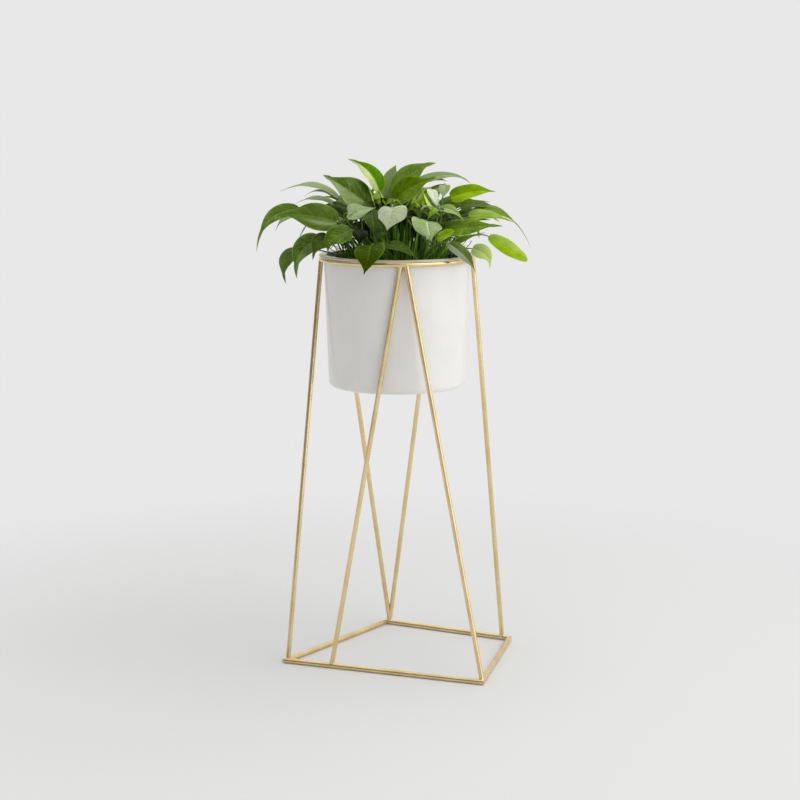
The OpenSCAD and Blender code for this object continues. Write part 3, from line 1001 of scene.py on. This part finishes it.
FRONT_LEAVES = (
    Leaf("crown_left", (-27, 5, 94), (-43, 8, 122), (-73, 15, 139), 19, 42, 0.1, B, -1.3, -1, half=-2),
    Leaf("crown_right", (-4, 22, 84), (25, 30, 119), (58, 35, 132), 20, 50, 0.1, M, -0.1),
    Leaf("crown_front", (-1, -8, 80), (22, -15, 99), (57, -20, 113), 23, 58, 0.05, M, -0.5, -0.7, half=-0.3),
    Leaf("crown_back", (-12, 40, 77), (-9, 50, 109), (-1, 58, 129), 16, 0, 0, M, 0.9, 1),
    Leaf("crown_long", (15, 6, 97), (72, 2, 115), (109, -3, 103), 13, 26, 0.1, P, -1.6, 0.1),
    Leaf("right_bright", (80, -5, 83), (113, -8, 92), (145, -12, 92), 17, 42, 0.05, B, -0.5, -0.7, half=-0.4),
    Leaf("left_big", (-38, -15, 70), (-76, -18, 98), (-108, -20, 117), 28, 48, 0.08, M, -0.9, -0.1, half=-1),
    Leaf("left_narrow", (-87, 0, 81), (-125, 0, 101), (-172, -5, 92), 14, 20, 0.15, M, 0.6, 1.1, half=0.4),
    Leaf("left_thin", (-94, 30, 81), (-117, 32, 91), (-138, 35, 83), 9, 10, 0.15, D, -0.5),
    Leaf("left_pale", (-92, 12, 70), (-120, 12, 81), (-150, 15, 73), 13, 15, 0.1, P, -0.4, 0.1),
    Leaf("far_left", (-145, 8, 66), (-188, -14, 50), (-204, -46, 7), 13, 40, 0.2, M, -0.5),
    Leaf("left_dark", (-87, -50, 51), (-127, -60, 60), (-165, -62, 63), 21, 68, 0, D, shine=1),
    Leaf("left_inner", (-73, -18, 53), (-92, -20, 66), (-112, -22, 73), 12, 30, 0, D, -1.2),
    Leaf("left_small", (-147, 24, 57), (-168, 22, 50), (-181, 20, 32), 9, 35, 0.1, P, -0.6),
    Leaf("low_left_outer", (-147, -4, 5), (-165, -26, -12), (-161, -54, -39), 11, 30, 0.1, D, half=0.3),
    Leaf("low_left_inner", (-112, -30, 23), (-140, -52, 6), (-144, -78, -29), 17, 38, 0.12, M, -0.7,
         half=-0.5),
    Leaf("left_dark_small", (-99, -62, 28), (-114, -70, 17), (-121, -74, -3), 14, 50, 0.1, D, -0.5),
    Leaf("front_left", (-66, -68, 39), (-92, -82, 27), (-98, -90, 10), 16, 45, 0.05, M, -0.9, -0.2),
    Leaf("pale_left", (-70, -56, 64), (-55, -55, 66), (-30, -46, 71), 13, 60, 0.02, P, -0.5, -0.1),
    Leaf("heart", (-7, -73, 72), (-10, -80, 59), (-14, -85, 40), 25, 0, 0, P, 0.8, 0.2, 0.1, half=0.5),
    Leaf("pale_centre", (43, -64, 52), (45, -75, 41), (50, -82, 24), 25, -14, 0.02, P, -0.8, 0, 0.6),
    Leaf("bright_small", (59, -74, 28), (71, -78, 34), (83, -82, 40), 10, 50, -0.2, B, -0.3, -0.2),
    Leaf("pale_right", (63, -38, 69), (81, -46, 66), (97, -52, 52), 11, 25, 0.05, M, 0.5, 0.5, half=-0.7),
    Leaf("pale_small", (59, -16, 71), (50, -20, 83), (58, -24, 97), 9, 0, 0, P, 1, 1),
    Leaf("dark_right", (64, 8, 71), (99, 10, 77), (138, 12, 76), 14, 38, 0.2, D, 0.3, -0.5, half=0.5),
    Leaf("long_right", (111, 15, 62), (163, 5, 55), (197, -5, 10), 12, 28, 0.35, M),
    Leaf("lime_under", (106, -18, 56), (136, -22, 58), (173, -26, 48), 12, 36, 0.1, B, -0.3, half=0.3),
    Leaf("dark_middle", (60, -22, 47), (80, -30, 56), (104, -36, 49), 12, 30, 0.05, D, -1.6),
    Leaf("right_middle", (68, -50, 35), (114, -56, 44), (154, -58, 45), 16, 42, 0.12, M, -0.3, -0.3),
    Leaf("right_low", (80, -36, 16), (104, -40, 27), (129, -44, 35), 10, 25, 0.1, M, 0.4, -0.2),
    Leaf("lime_low", (136, -8, 26), (164, -12, 9), (192, -15, -9), 12, 62, -0.35, B, 0, -0.3, half=0.5),
    Leaf("lime_hanging", (111, -32, 10), (131, -42, 0), (135, -48, -19), 12, 50, 0.12, B, 1, 0.8),
    Leaf("front_right", (76, -80, 21), (99, -90, 3), (113, -95, -19), 11, 45, 0.04, D, 0, 0.2, half=-1.6),
    Leaf("front_hanging", (-36, -102, 20), (-40, -122, 4), (-46, -128, -19), 22, 0, 0.03, D, -1.3, -1.2),
    Leaf("front_low", (-13, -92, 21), (10, -104, 15), (30, -112, 2), 13, 20, 0.05, D, -1.2, -0.3),
    Leaf("dark_centre", (-36, -60, 62), (-33, -74, 49), (-33, -80, 31), 14, 0, 0.05, D, -1.4),
    Leaf("dark_left", (-52, -90, 41), (-52, -104, 33), (-52, -108, 23), 11, 0, 0, D, -3.9, -1.5),
    Leaf("new_left", (-32, -26, 71), (-36, -26, 85), (-42, -26, 101), 8, 20, 0, B, 1.6, half=-0.6),
    Leaf("new_right", (38, -24, 69), (35, -27, 82), (40, -31, 96), 6, 15, 0, B, 2.2),
    Leaf("round_green", (8, -38, 64), (5, -44, 74), (-1, -49, 82), 9, 30, 0, B, -0.2),
)
# Leaves that fill the gaps between those, each half hidden by one of them: all that a leaf has but its name.
FILLING_LEAVES = (
    ((86, 4, 54), (120, 2, 60), (152, -4, 47), 11, 30, 0.1, M, -0.7),
    ((72, -22, 38), (104, -26, 50), (137, -30, 52), 10, 35, 0.1, D, -0.2),
    ((61, 2, 59), (84, 2, 70), (108, 0, 69), 10, 40, 0.05, D, 0.1),
    ((94, 20, 66), (126, 20, 71), (157, 18, 61), 10, 30, 0.1, D),
    ((-84, -30, 36), (-103, -32, 43), (-122, -34, 39), 9, 40, 0.05, D, -0.4),
    ((-94, 6, 58), (-114, 6, 67), (-133, 6, 61), 9, 30, 0.1, D, 0, 0.3),
    ((-66, 10, 58), (-87, 12, 71), (-111, 14, 70), 10, 40, 0.05, M, -0.6),
    ((-52, 20, 66), (-67, 22, 81), (-84, 24, 84), 10, 40, 0.05, D, -0.4),
    ((0, -28, 60), (-4, -26, 72), (-16, -24, 82), 10, 30, 0, M, -0.5, -0.2),
    ((10, -32, 58), (19, -34, 71), (34, -36, 77), 11, 40, 0, M, -0.4, -0.2),
    ((25, -30, 53), (40, -34, 67), (57, -38, 64), 11, 40, 0, D, -0.2),
    ((19, -44, 64), (29, -52, 63), (35, -56, 54), 10, 10, 0, M, -0.9),
    ((2, 10, 70), (11, 14, 83), (25, 16, 90), 13, 30, 0, D, -0.8),
    ((34, 6, 70), (49, 8, 85), (67, 10, 89), 13, 40, 0, M, -0.5, 0.3),
    ((-30, -30, 64), (-38, -28, 74), (-51, -26, 76), 10, 40, 0, D, -0.6),
    ((-42, -44, 53), (-56, -50, 58), (-68, -54, 49), 11, 30, 0, D, -0.8),
    ((48, -38, 44), (63, -42, 50), (77, -46, 43), 10, 30, 0, D, -0.3),
    ((18, -46, 60), (26, -58, 45), (42, -66, 24), 8, 10, 0, B, -0.4),
    ((-18, -70, 37), (-24, -78, 35), (-30, -82, 25), 10, 10, 0, D, -1.2),
    ((34, -24, 72), (40, -26, 85), (51, -28, 92), 8, 50, 0, B, -0.2),
    ((-26, -30, 75), (-30, -31, 85), (-27, -32, 96), 6, 30, 0, B, 0.1),
    ((70, -18, 101), (69, -24, 94), (67, -28, 83), 9, 0, 0, P, -0.4, 0.2),
    ((50, -28, 96), (54, -38, 85), (60, -42, 71), 9, 0, 0, P, 1.2, 0.3),
    ((40, -8, 89), (59, -10, 99), (76, -12, 102), 5, 40, 0, D, 0.3),
    ((52, -50, 68), (44, -50, 79), (38, -46, 96), 5, 30, 0, B, 1, 0.2),
    ((45, -56, 74), (39, -59, 72), (34, -62, 65), 5, 0, 0, P, -0.3, 0.2),
    ((58, -54, 68), (51, -59, 64), (44, -62, 53), 7, 20, 0, B, -0.4),
    ((-63, -58, 65), (-68, -60, 61), (-71, -62, 53), 4, 0, 0.1, P, -0.5, -0.1),
    ((-66, 4, 70), (-87, 2, 81), (-109, 0, 84), 9, 35, 0.1, M, 0.6, 0.9),
    ((40, 4, 105), (55, 0, 110), (74, -4, 107), 6, 35, 0, D, 0.2),
    ((-35, -34, 56), (-43, -35, 67), (-56, -36, 70), 11, 20, 0, D, -1.4),
    ((64, -40, 57), (54, -46, 67), (41, -50, 71), 9, 35, 0, B, -0.5, 0.2),
    ((57, -44, 48), (48, -50, 59), (38, -54, 65), 8, 30, 0, M, 0.2),
    ((76, -34, 58), (67, -42, 69), (57, -46, 75), 9, 30, 0, B, -1),
    ((-19, -36, 71), (-11, -40, 79), (-1, -44, 83), 9, 30, 0, M, 0.2, -0.4),
    ((8, -36, 71), (2, -38, 78), (-6, -40, 84), 9, 30, 0, B, -0.8, -0.2),
    ((10, -34, 64), (16, -38, 76), (22, -40, 84), 10, 30, 0, M, -0.2),
    ((-28, -10, 68), (-22, -12, 78), (-14, -14, 87), 11, 20, 0, D, -0.8),
    ((51, -40, 57), (48, -44, 66), (42, -46, 73), 6, 20, 0, B, 0.6, 0.2),
    ((-23, -24, 72), (-27, -25, 86), (-34, -26, 102), 7, 30, 0, B, 1.6),
    ((-17, -22, 75), (-22, -22, 85), (-25, -22, 95), 6, 30, 0, B, 1.2),
    ((29, -30, 68), (26, -32, 80), (31, -33, 90), 6, 30, 0, B, 1.2),
    ((37, -40, 64), (32, -42, 73), (25, -44, 79), 6, 25, 0, B, 0.8),
)


@dataclass(frozen=True)
class Blade:
    """How a leaf's surface is drawn: its resolution and its relief, as shares of the half width."""

    stalk_rings: int = 16
    blade_rings: int = 52
    columns: int = 40
    arch: float = 0.34
    droop: float = 0.2
    wave: float = 0.07
    quilt: float = 0.004
    lobe: float = 0.6
    drip: float = 0.2


@dataclass(frozen=True)
class Plant:
    """The plant: the leaves that the photograph tells apart, those behind, and the small inner growth.

    The inner leaves spread over a disc under a dome, and none is at the front under open_high, where the
    stems show. The stems are tinted dark at random, as painted shade, and those that face the key lamp are
    painted lighter than the others, as painted light. A range of tints is its start and its span.
    """

    turn: float = 20.0
    sunk: float = 3.0
    stalk_radius: float = 1.25
    stalk_end_radius: float = 0.85
    half_thick: float = 0.3
    rib_high: float = 0.55
    stalk_foot: float = 0.45
    stalk_rise: float = 0.45
    stalk_lead: float = 0.3
    # Place, width and strength of the painted highlight band on a leaf's lower half.
    shine_at: float = -0.42
    shine_width: float = 0.16
    shine_tint: float = 2.6
    shine_bloom: float = 1.3
    spiral: float = 137.5
    inner_leaves: int = 190
    inner_foot: float = 0.85
    disc: float = 78.0
    dome: float = 82.0
    dome_fall: float = 42.0
    open_front: float = -22.0
    open_high: float = 52.0
    inner_stems: int = 320
    stem_disc: float = 84.0
    stem_fall: float = 26.0
    back_reach: float = 96.0
    lit_from: float = 290.0
    lit_to: float = 350.0
    lit_reach: float = 40.0
    stem_shade_tint: tuple[float, float] = (-3.6, 4.2)
    lit_tint: tuple[float, float] = (1.0, 4.0)

    def place(self, p: Point) -> Array:
        """Turns a leaf table's point to the stand's axes."""
        c, s = math.cos(math.radians(self.turn)), math.sin(math.radians(self.turn))
        return np.array([p[0] * c - p[1] * s, p[0] * s + p[1] * c, RIM_Z + p[2]])

    def blade_width(self, t: Array, tail: float) -> Array:
        """Works out how wide a blade is.

        It is the sine of pi times u to the power 0.6, where u runs from 0 at the base to 1 where the drip tip
        begins, drawn in towards that end by up to a third, which gives a heart's shoulders. The last seventh
        is rounded off, so that a leaf seen with its tip turned away ends round.

        Args:
            t: places along the blade, from 0 to 1.
            tail: the share of its length that is the drip tip.

        Returns:
            The width there, as a share of the widest.
        """
        u = np.minimum(t / (1.0 - tail), 1.0)
        ending = np.sqrt(1.0 - np.clip((t - 0.86) / 0.14, 0.0, 1.0) ** 2)
        return np.sin(math.pi * u**0.6) * (1.0 - 0.32 * ease(u, 0.5, 1.0)) * ending

    def leaf_surface(self, leaf: Leaf, draw: Blade, phase: float, foot_share: float) -> Surface:
        """Builds a leaf with its stalk as one closed skin.

        The midrib is one cubic from base to tip, and the stalk another from the soil to the base. Round each
        point of it lies a ring: across by the half width, and up or down by the skin's half thickness. The
        upper face rises from the midrib by arch times the distance from it and falls again by droop times its
        square, waves at its margin, and is quilted between the side veins. The tint that the material reads
        is raised on one half and along a band, where the photograph shows the wax shine: painted light on that
        half and a painted highlight along the band.

        Args:
            leaf: the leaf.
            draw: resolution and relief.
            phase: the place of its waves, in turns.
            foot_share: how far out the stalk leaves the soil, as a share of the blade's base.

        Returns:
            The surface, with the marks "blade" and "leaf".
        """
        base, middle, tip = self.place(leaf.base), self.place(leaf.middle), self.place(leaf.tip)
        bend = 2.0 * middle - (base + tip) / 2.0
        foot = np.array([base[0] * foot_share, base[1] * foot_share, SOIL_Z - self.sunk])
        rise = np.array([0.0, 0.0, (base[2] - foot[2]) * self.stalk_rise])
        lead = unit(bend - base) * np.linalg.norm(base - foot) * self.stalk_lead
        heading = unit((tip - base) * np.array([1.0, 1.0, 0.0]))
        turn = math.radians(leaf.turn)
        lean = 1.0 if leaf.tip[0] < leaf.base[0] else -1.0
        side = (np.array([heading[1], -heading[0], 0.0]) * math.cos(turn)
                + np.array([0.0, 0.0, lean * math.sin(turn)]))

        stalk_t = np.linspace(0.0, 1.0, draw.stalk_rings, endpoint=False)
        blade_t = np.linspace(0.0, 1.0, draw.blade_rings) ** 1.15
        stalk, stalk_way = cubic(foot, foot + rise, base - lead, base, stalk_t)
        ribs, rib_way = cubic(base, base + (bend - base) * 2 / 3, tip + (bend - tip) * 2 / 3, tip, blade_t)
        centre = np.concatenate([stalk, ribs])[:, None]
        way = np.concatenate([stalk_way, rib_way])
        across = unit(side - dot(way, side) * way)
        up = np.cross(across, way)[:, None]
        across, way = across[:, None], way[:, None]

        zeros, ones = np.zeros_like(stalk_t), np.ones_like(blade_t)
        on_blade = np.concatenate([zeros, ones])[:, None]
        t = np.concatenate([zeros, blade_t])[:, None]
        stalk_share = np.concatenate([stalk_t, ones])[:, None]
        stem = self.stalk_radius + (self.stalk_end_radius - self.stalk_radius) * stalk_share
        stem = stem * (1.0 - 0.85 * t**0.5 * on_blade)
        wide = self.blade_width(t, leaf.tail) * leaf.width * on_blade
        tail = max(leaf.tail, 0.01)
        drip = draw.drip * min(10.0 * tail, 1.0) * leaf.width
        drip = drip * np.minimum((1.0 - t) / (1.6 * tail), 1.0) ** 0.85
        reach = np.maximum(np.maximum(wide, stem), drip * ease(t, 0.5, 0.7) * on_blade)

        # The rings' points crowd towards the midrib and the margins on the blade, and are even on the stalk.
        a = ring_angles(draw.columns)
        x = np.sign(np.cos(a)) * np.abs(np.cos(a)) ** (1.0 + 0.6 * ease(t, 0.0, 0.06))
        off = np.abs(x)
        spread = ease(t, 0.0, 0.05) * on_blade
        thick = stem * (1.0 - spread) + np.minimum(self.half_thick, stem) * spread
        top = np.sin(a) >= 0.0
        rib = self.rib_high * (1.0 - 0.8 * t) * np.exp(-((x * reach / 1.1) ** 2)) * spread
        body = thick * np.sin(a) - np.where(top, 0.35, 1.0) * rib
        turns = TURN * VEINS * (t - SWEEP * off**VEIN_BEND)
        relief = (leaf.fold * draw.arch * off - draw.droop * off**2
                  + draw.wave * off**3 * np.sin(TURN * (1.6 * t + phase) + 1.2 * np.sign(x))
                  - draw.quilt * np.cos(turns) * 4.0 * off * (1.0 - off))
        back = draw.lobe * wide * (1.0 - t) ** 4 * off**1.4
        points = (centre + (reach * x)[..., None] * across + (body + relief * wide)[..., None] * up
                  - back[..., None] * way)

        stalk_mark = np.where(on_blade > 0.0, t, -0.1 * (1.0 - stalk_share) - 0.02)
        # Painted light: one half is painted lighter and greyer, and a band on the lower half gets a painted
        # highlight.
        upper = lean * x
        lighter = abs(leaf.half) * np.clip(np.sign(leaf.half) * upper / 0.1, 0.0, 1.0)
        gloss = (leaf.shine * np.exp(-(((upper - self.shine_at) / self.shine_width) ** 2))
                 * (1.0 - ease(t, 0.35, 0.75)) * on_blade)
        marks = {
            "blade": bundle(x, stalk_mark, np.where(top, 0.0, 1.0) * on_blade),
            "leaf": bundle(leaf.tint + lighter + self.shine_tint * gloss,
                           leaf.bloom + lighter + self.shine_bloom * gloss, leaf.width)}
        return Surface(points, marks, flip=True)

    def back_leaves(self) -> list[Leaf]:
        """Lists the five large leaves on the side away from the front, spread evenly.

        Returns:
            The leaves.
        """
        leaves = []
        for k in range(5):
            a, up = 35.0 + 27.0 * k, 22.0 * (k % 2)
            leaves.append(Leaf(
                f"back_{k + 1}", polar(92 - up, a, 38 + up), polar(141 - up, a + 4, 50 + up),
                polar(172 - up, a + 8, 14 + up), 20, 0, 0.1, D if k % 2 else M))
        return leaves

    def small_back_leaves(self) -> list[Leaf]:
        """Lists the smaller leaves that fill the plant's back, in two tiers.

        Returns:
            The leaves.
        """
        leaves = []
        for count, first, step, width, places in (
                (4, 48, 27, 15, ((62, 72), (92, 92), (120, 78))),
                (2, 55, 80, 14, ((38, 68), (66, 92), (94, 88)))):
            for k in range(count):
                a = first + k * step
                points = (polar(reach, a + 5 * n, high) for n, (reach, high) in enumerate(places))
                leaves.append(Leaf("back_small", *points, width, 0, 0.1, M))
        return leaves

    def inner_growth(self, rng: np.random.Generator) -> list[Leaf]:
        """Draws the small leaves that crowd the middle of the plant, under and between the large ones.

        Their bases spread evenly over a disc, and the dome over it falls with the square of the reach. The
        deeper a leaf sits under the dome, the darker it is painted: painted shade. None hides the stems at the
        front.

        Args:
            rng: the source of their places.

        Returns:
            The filling leaves and these.
        """
        leaves = [Leaf("inner", *row) for row in FILLING_LEAVES]
        looks = (D, M, D, D, M, D, M, D, D, M)
        for k in range(self.inner_leaves):
            angle = k * self.spiral + rng.uniform(-12, 12)
            share = math.sqrt((k + 0.5) / self.inner_leaves)
            reach = self.disc * share
            depth = rng.uniform(4.0, 40.0)
            height = self.dome - self.dome_fall * share**2 - depth
            length, width = rng.uniform(22, 36), rng.uniform(7, 11)
            rise, drop = rng.uniform(0.0, 12.0), rng.uniform(2, 16)
            if reach * math.sin(math.radians(angle)) < self.open_front and height < self.open_high:
                continue
            # Painted shade: the deeper a leaf sits under the dome, the darker its tint.
            leaves.append(Leaf(
                "inner", polar(reach, angle, height), polar(reach + 0.5 * length, angle + 5, height + rise),
                polar(reach + length, angle + 9, height - drop),
                width, 0, 0.05, looks[k % len(looks)], -1.6 - depth / 16.0))
        return leaves

    def stem(self, rng: np.random.Generator, number: int) -> Surface:
        """Builds one of the thin stems that rise between the leaf stalks and fan out under the leaves.

        The stem is a cubic from the soil, upright at first, that leans outwards to the underside of the dome.

        Args:
            rng: the source of its place.
            number: its number, which sets its direction.

        Returns:
            The surface, with the marks "blade" and "leaf".
        """
        angle = number * self.spiral + rng.uniform(-15.0, 15.0)
        foot_reach = self.stem_disc * math.sqrt(rng.uniform(0.01, 1.0))
        top_reach = foot_reach * rng.uniform(1.05, 1.45) + rng.uniform(0.0, 8.0)
        if math.sin(math.radians(angle)) > 0.0:
            top_reach = min(top_reach, self.back_reach)
        top_high = rng.uniform(40.0, 70.0) - self.stem_fall * min(top_reach / 100.0, 1.0) ** 2
        foot = self.place(polar(foot_reach, angle, SOIL_Z - RIM_Z - self.sunk))
        top = self.place(polar(top_reach, angle + rng.uniform(-14.0, 14.0), top_high))
        lift = np.array([0.0, 0.0, (top[2] - foot[2]) * 0.4])
        t = np.linspace(0.0, 1.0, 12)
        path, way = cubic(foot, foot + lift, top - 0.6 * lift + 0.1 * (foot - top), top, t)
        first = unit(np.cross(way, [0.0, 1.0, 0.01]))
        second = np.cross(way, first)
        a = ring_angles(7)[None, :, None]
        radius = rng.uniform(0.5, 0.8) * (1.0 - 0.3 * t)[:, None, None]
        points = path[:, None] + radius * (np.cos(a) * first[:, None] + np.sin(a) * second[:, None])
        # Painted shade: most stems are tinted dark at random; those that face the key lamp get painted light.
        tint = self.stem_shade_tint[0] + self.stem_shade_tint[1] * rng.random() ** 1.5
        lit = rng.random()
        if self.lit_from < angle % 360.0 < self.lit_to and foot_reach > self.lit_reach:
            tint += self.lit_tint[0] + self.lit_tint[1] * lit
        marks = {key: np.broadcast_to(values, points.shape)
                 for key, values in (("blade", (0.0, -0.1, 0.0)), ("leaf", (tint, -0.5, 1.0)))}
        return Surface(points, marks)

    def build(self) -> None:
        """Builds and dresses every leaf."""
        rng = np.random.default_rng(5)
        skins = (
            LeafSkin(D, "#324608", "#667e26", "#96a85a", "#7f9450", 0.3, 0.2, 0.05, "#8fa468", 0.25),
            LeafSkin(M, "#3c5606", "#82a030", "#b0c272", "#94aa5c", 0.32, 0.18, 0.05, "#a8b884", 0.3),
            LeafSkin(B, "#4c7e00", "#b8d040", "#cfe07c", "#a8c44c", 0.36, 0.25, 0.05, "#c8da78", 0.2),
            # Painted sheen: the pale skin, and its light underside, stand in for the gloss and light on leaves
            # that face the lamps.
            LeafSkin(P, "#8ba262", "#c8d6ac", "#e2e8cf", "#d0dcbe", 0.4, 0.5, 0.2, "#6c8a3e", 0.55))
        finishes = {skin.look: skin.build() for skin in skins}
        draw = Blade()
        for leaf in (*FRONT_LEAVES, *self.back_leaves()):
            surface = self.leaf_surface(leaf, draw, rng.random(), self.stalk_foot)
            piece = make_piece(f"foliage_{leaf.name}", [surface], finishes[leaf.look], sharp=75.0)
            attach(piece, "plant")
            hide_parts(f"leaf_{leaf.name}")
            log.info("%s replaces leaf_%s", piece.name, leaf.name)
        small = [self.leaf_surface(leaf, draw, rng.random(), self.stalk_foot)
                 for leaf in self.small_back_leaves()]
        piece = make_piece("foliage_back_small", small, finishes[M], sharp=75.0)
        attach(piece, "plant")
        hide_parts("leaves_back_small")
        log.info("%s replaces leaves_back_small", piece.name)
        stems = make_piece("inner_stems", [self.stem(rng, k) for k in range(self.inner_stems)], finishes[M])
        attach(stems, "plant")
        log.info("%s has %d stems", stems.name, self.inner_stems)
        fine = Blade(stalk_rings=10, blade_rings=18, columns=16)
        inner = self.inner_growth(rng)
        for look in Look:
            surfaces = [self.leaf_surface(leaf, fine, rng.random(), self.inner_foot)
                        for leaf in inner if leaf.look is look]
            piece = make_piece(f"inner_growth_{look.name.lower()}", surfaces, finishes[look], sharp=75.0)
            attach(piece, "plant")
            log.info("%s has %d small leaves", piece.name, len(surfaces))


# ---- the studio


@dataclass(frozen=True)
class PaperFloor(Finish):
    """Pale seamless paper that melts into the backdrop's colour away from the stand, in metres."""

    name = "seamless_paper_floor"
    backdrop: str
    paper: str = "#dcdcdb"
    near: float = 0.25
    far: float = 1.3

    def surface(self, add: Adder) -> Socket:
        """Adds the nodes of the paper.

        Args:
            add: adds a node to the material's tree, as put does.

        Returns:
            The paper's shader.
        """
        distance = add("VectorMath", (add("TexCoord", (), "Object"),), "Value", operation="LENGTH")
        far = add("MapRange", (distance, self.near, self.far), interpolation_type="SMOOTHSTEP")
        path = add("LightPath").node.outputs
        seen = add("Math", (path["Is Camera Ray"], path["Is Glossy Ray"]), operation="MAXIMUM")
        share = add("Math", (far, seen), operation="MULTIPLY")
        paper = add("BsdfPrincipled", {"Base Color": self.paper, "Roughness": 0.9, "Specular IOR Level": 0.2})
        return add("MixShader", (share, paper, add("Emission", (self.backdrop, 1.0))))


@dataclass(frozen=True)
class Studio:
    """A pale seamless floor, soft lamps, and the camera at the photograph's place."""

    camera_at: Point = (968.4, -2618.9, 838.75)
    azimuth: float = 20.2
    pitch: float = 9.2
    lens: float = 85.0
    sensor: float = 36.0
    backdrop: str = "#e8e8e8"
    floor_radius: float = 9.0

    def camera(self) -> None:
        """Adds the camera: turned by the azimuth about the upright axis and pitched down."""
        data = bpy.data.cameras.new("camera")
        data.lens, data.sensor_width, data.sensor_fit = self.lens, self.sensor, "HORIZONTAL"
        data.clip_end = 50.0
        camera = new_object("camera", data)
        camera.location = [v * MM for v in self.camera_at]
        camera.rotation_euler = (math.radians(90.0 - self.pitch), 0.0, math.radians(self.azimuth))
        bpy.context.scene.camera = camera

    def floor(self) -> None:
        """Adds the floor, a disc."""
        a = ring_angles(96)
        mesh = bpy.data.meshes.new("studio_floor")
        ring = bundle(np.cos(a), np.sin(a), 0.0) * self.floor_radius
        mesh.from_pydata(ring.tolist(), [], [list(range(len(ring)))])
        mesh.materials.append(PaperFloor(self.backdrop).build())
        piece = new_object("studio_floor", mesh)

    def world(self) -> None:
        """Lights the scene from all round, with a dimmer side where the photographer stands.

        Only the gloss of the surfaces mirrors a dark flag at the left, which draws the dark band along each
        rod, and a brighter ceiling.
        """
        world = bpy.data.worlds.new("studio")
        bpy.context.scene.world = world
        world.use_nodes = True
        world.node_tree.nodes.clear()
        add = partial(put, world.node_tree)
        way = add("TexCoord", (), "Generated")
        a = math.radians(self.azimuth)
        towards, leftward = (
            add("VectorMath", (way, aim), "Value", operation="DOT_PRODUCT")
            for aim in ((math.sin(a), -math.cos(a), 0.0), (-math.cos(a), -math.sin(a), 0.0)))
        level, flag, ceiling = (
            add("MapRange", reading, interpolation_type="SMOOTHSTEP") for reading in (
                (towards, 0.1, 0.95, 0.78, 0.22), (leftward, 0.2, 0.85, 1.0, 0.4),
                (add("SeparateXYZ", (way,), 2), 0.3, 0.8, 1.0, 1.35)))
        mirrored = add("Math", (flag, ceiling), operation="MULTIPLY")
        path = add("LightPath").node.outputs
        gloss = add("Mix", {0: path["Is Glossy Ray"], 2: 1.0, 3: mirrored}, data_type="FLOAT")
        around = add("Background", ("#ffffff", add("Math", (level, gloss), operation="MULTIPLY")))
        seen = add("Background", (self.backdrop, 1.0))
        add("OutputWorld", (add("MixShader", (path["Is Camera Ray"], around, seen)),))

    def lamp(self, name: str, at: Point, aim: Point, size: float, watts: float) -> None:
        """Adds a square softbox.

        Args:
            name: its name.
            at: its place, in metres.
            aim: the point that it faces, in metres.
            size: its side, in metres.
            watts: its power.
        """
        data = bpy.data.lights.new(name, "AREA")
        data.shape, data.size, data.energy = "SQUARE", size, watts
        lamp = new_object(name, data)
        lamp.location = at
        way = unit(np.array(aim) - np.array(at))
        lamp.rotation_euler = (math.acos(-way[2]), 0.0, math.atan2(way[1], way[0]) - math.pi / 2.0)

    def build(self) -> None:
        """Builds the studio."""
        bpy.context.scene.view_settings.view_transform = "Standard"
        self.camera()
        self.floor()
        self.world()
        self.lamp("key_from_right", (2.1, -0.5, 1.5), (0.0, 0.0, 0.55), 3.6, 36.0)
        self.lamp("top_box", (0.3, 0.2, 2.4), (0.0, 0.0, 0.6), 1.9, 16.0)


def main() -> None:
    """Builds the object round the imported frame."""
    logging.basicConfig(level=logging.INFO, format="%(message)s")
    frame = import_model()
    Studio().build()
    Stand().build()
    Planter().build(frame["nodes"])
    Soil().build()
    Plant().build()


if __name__ == "__main__":
    main()
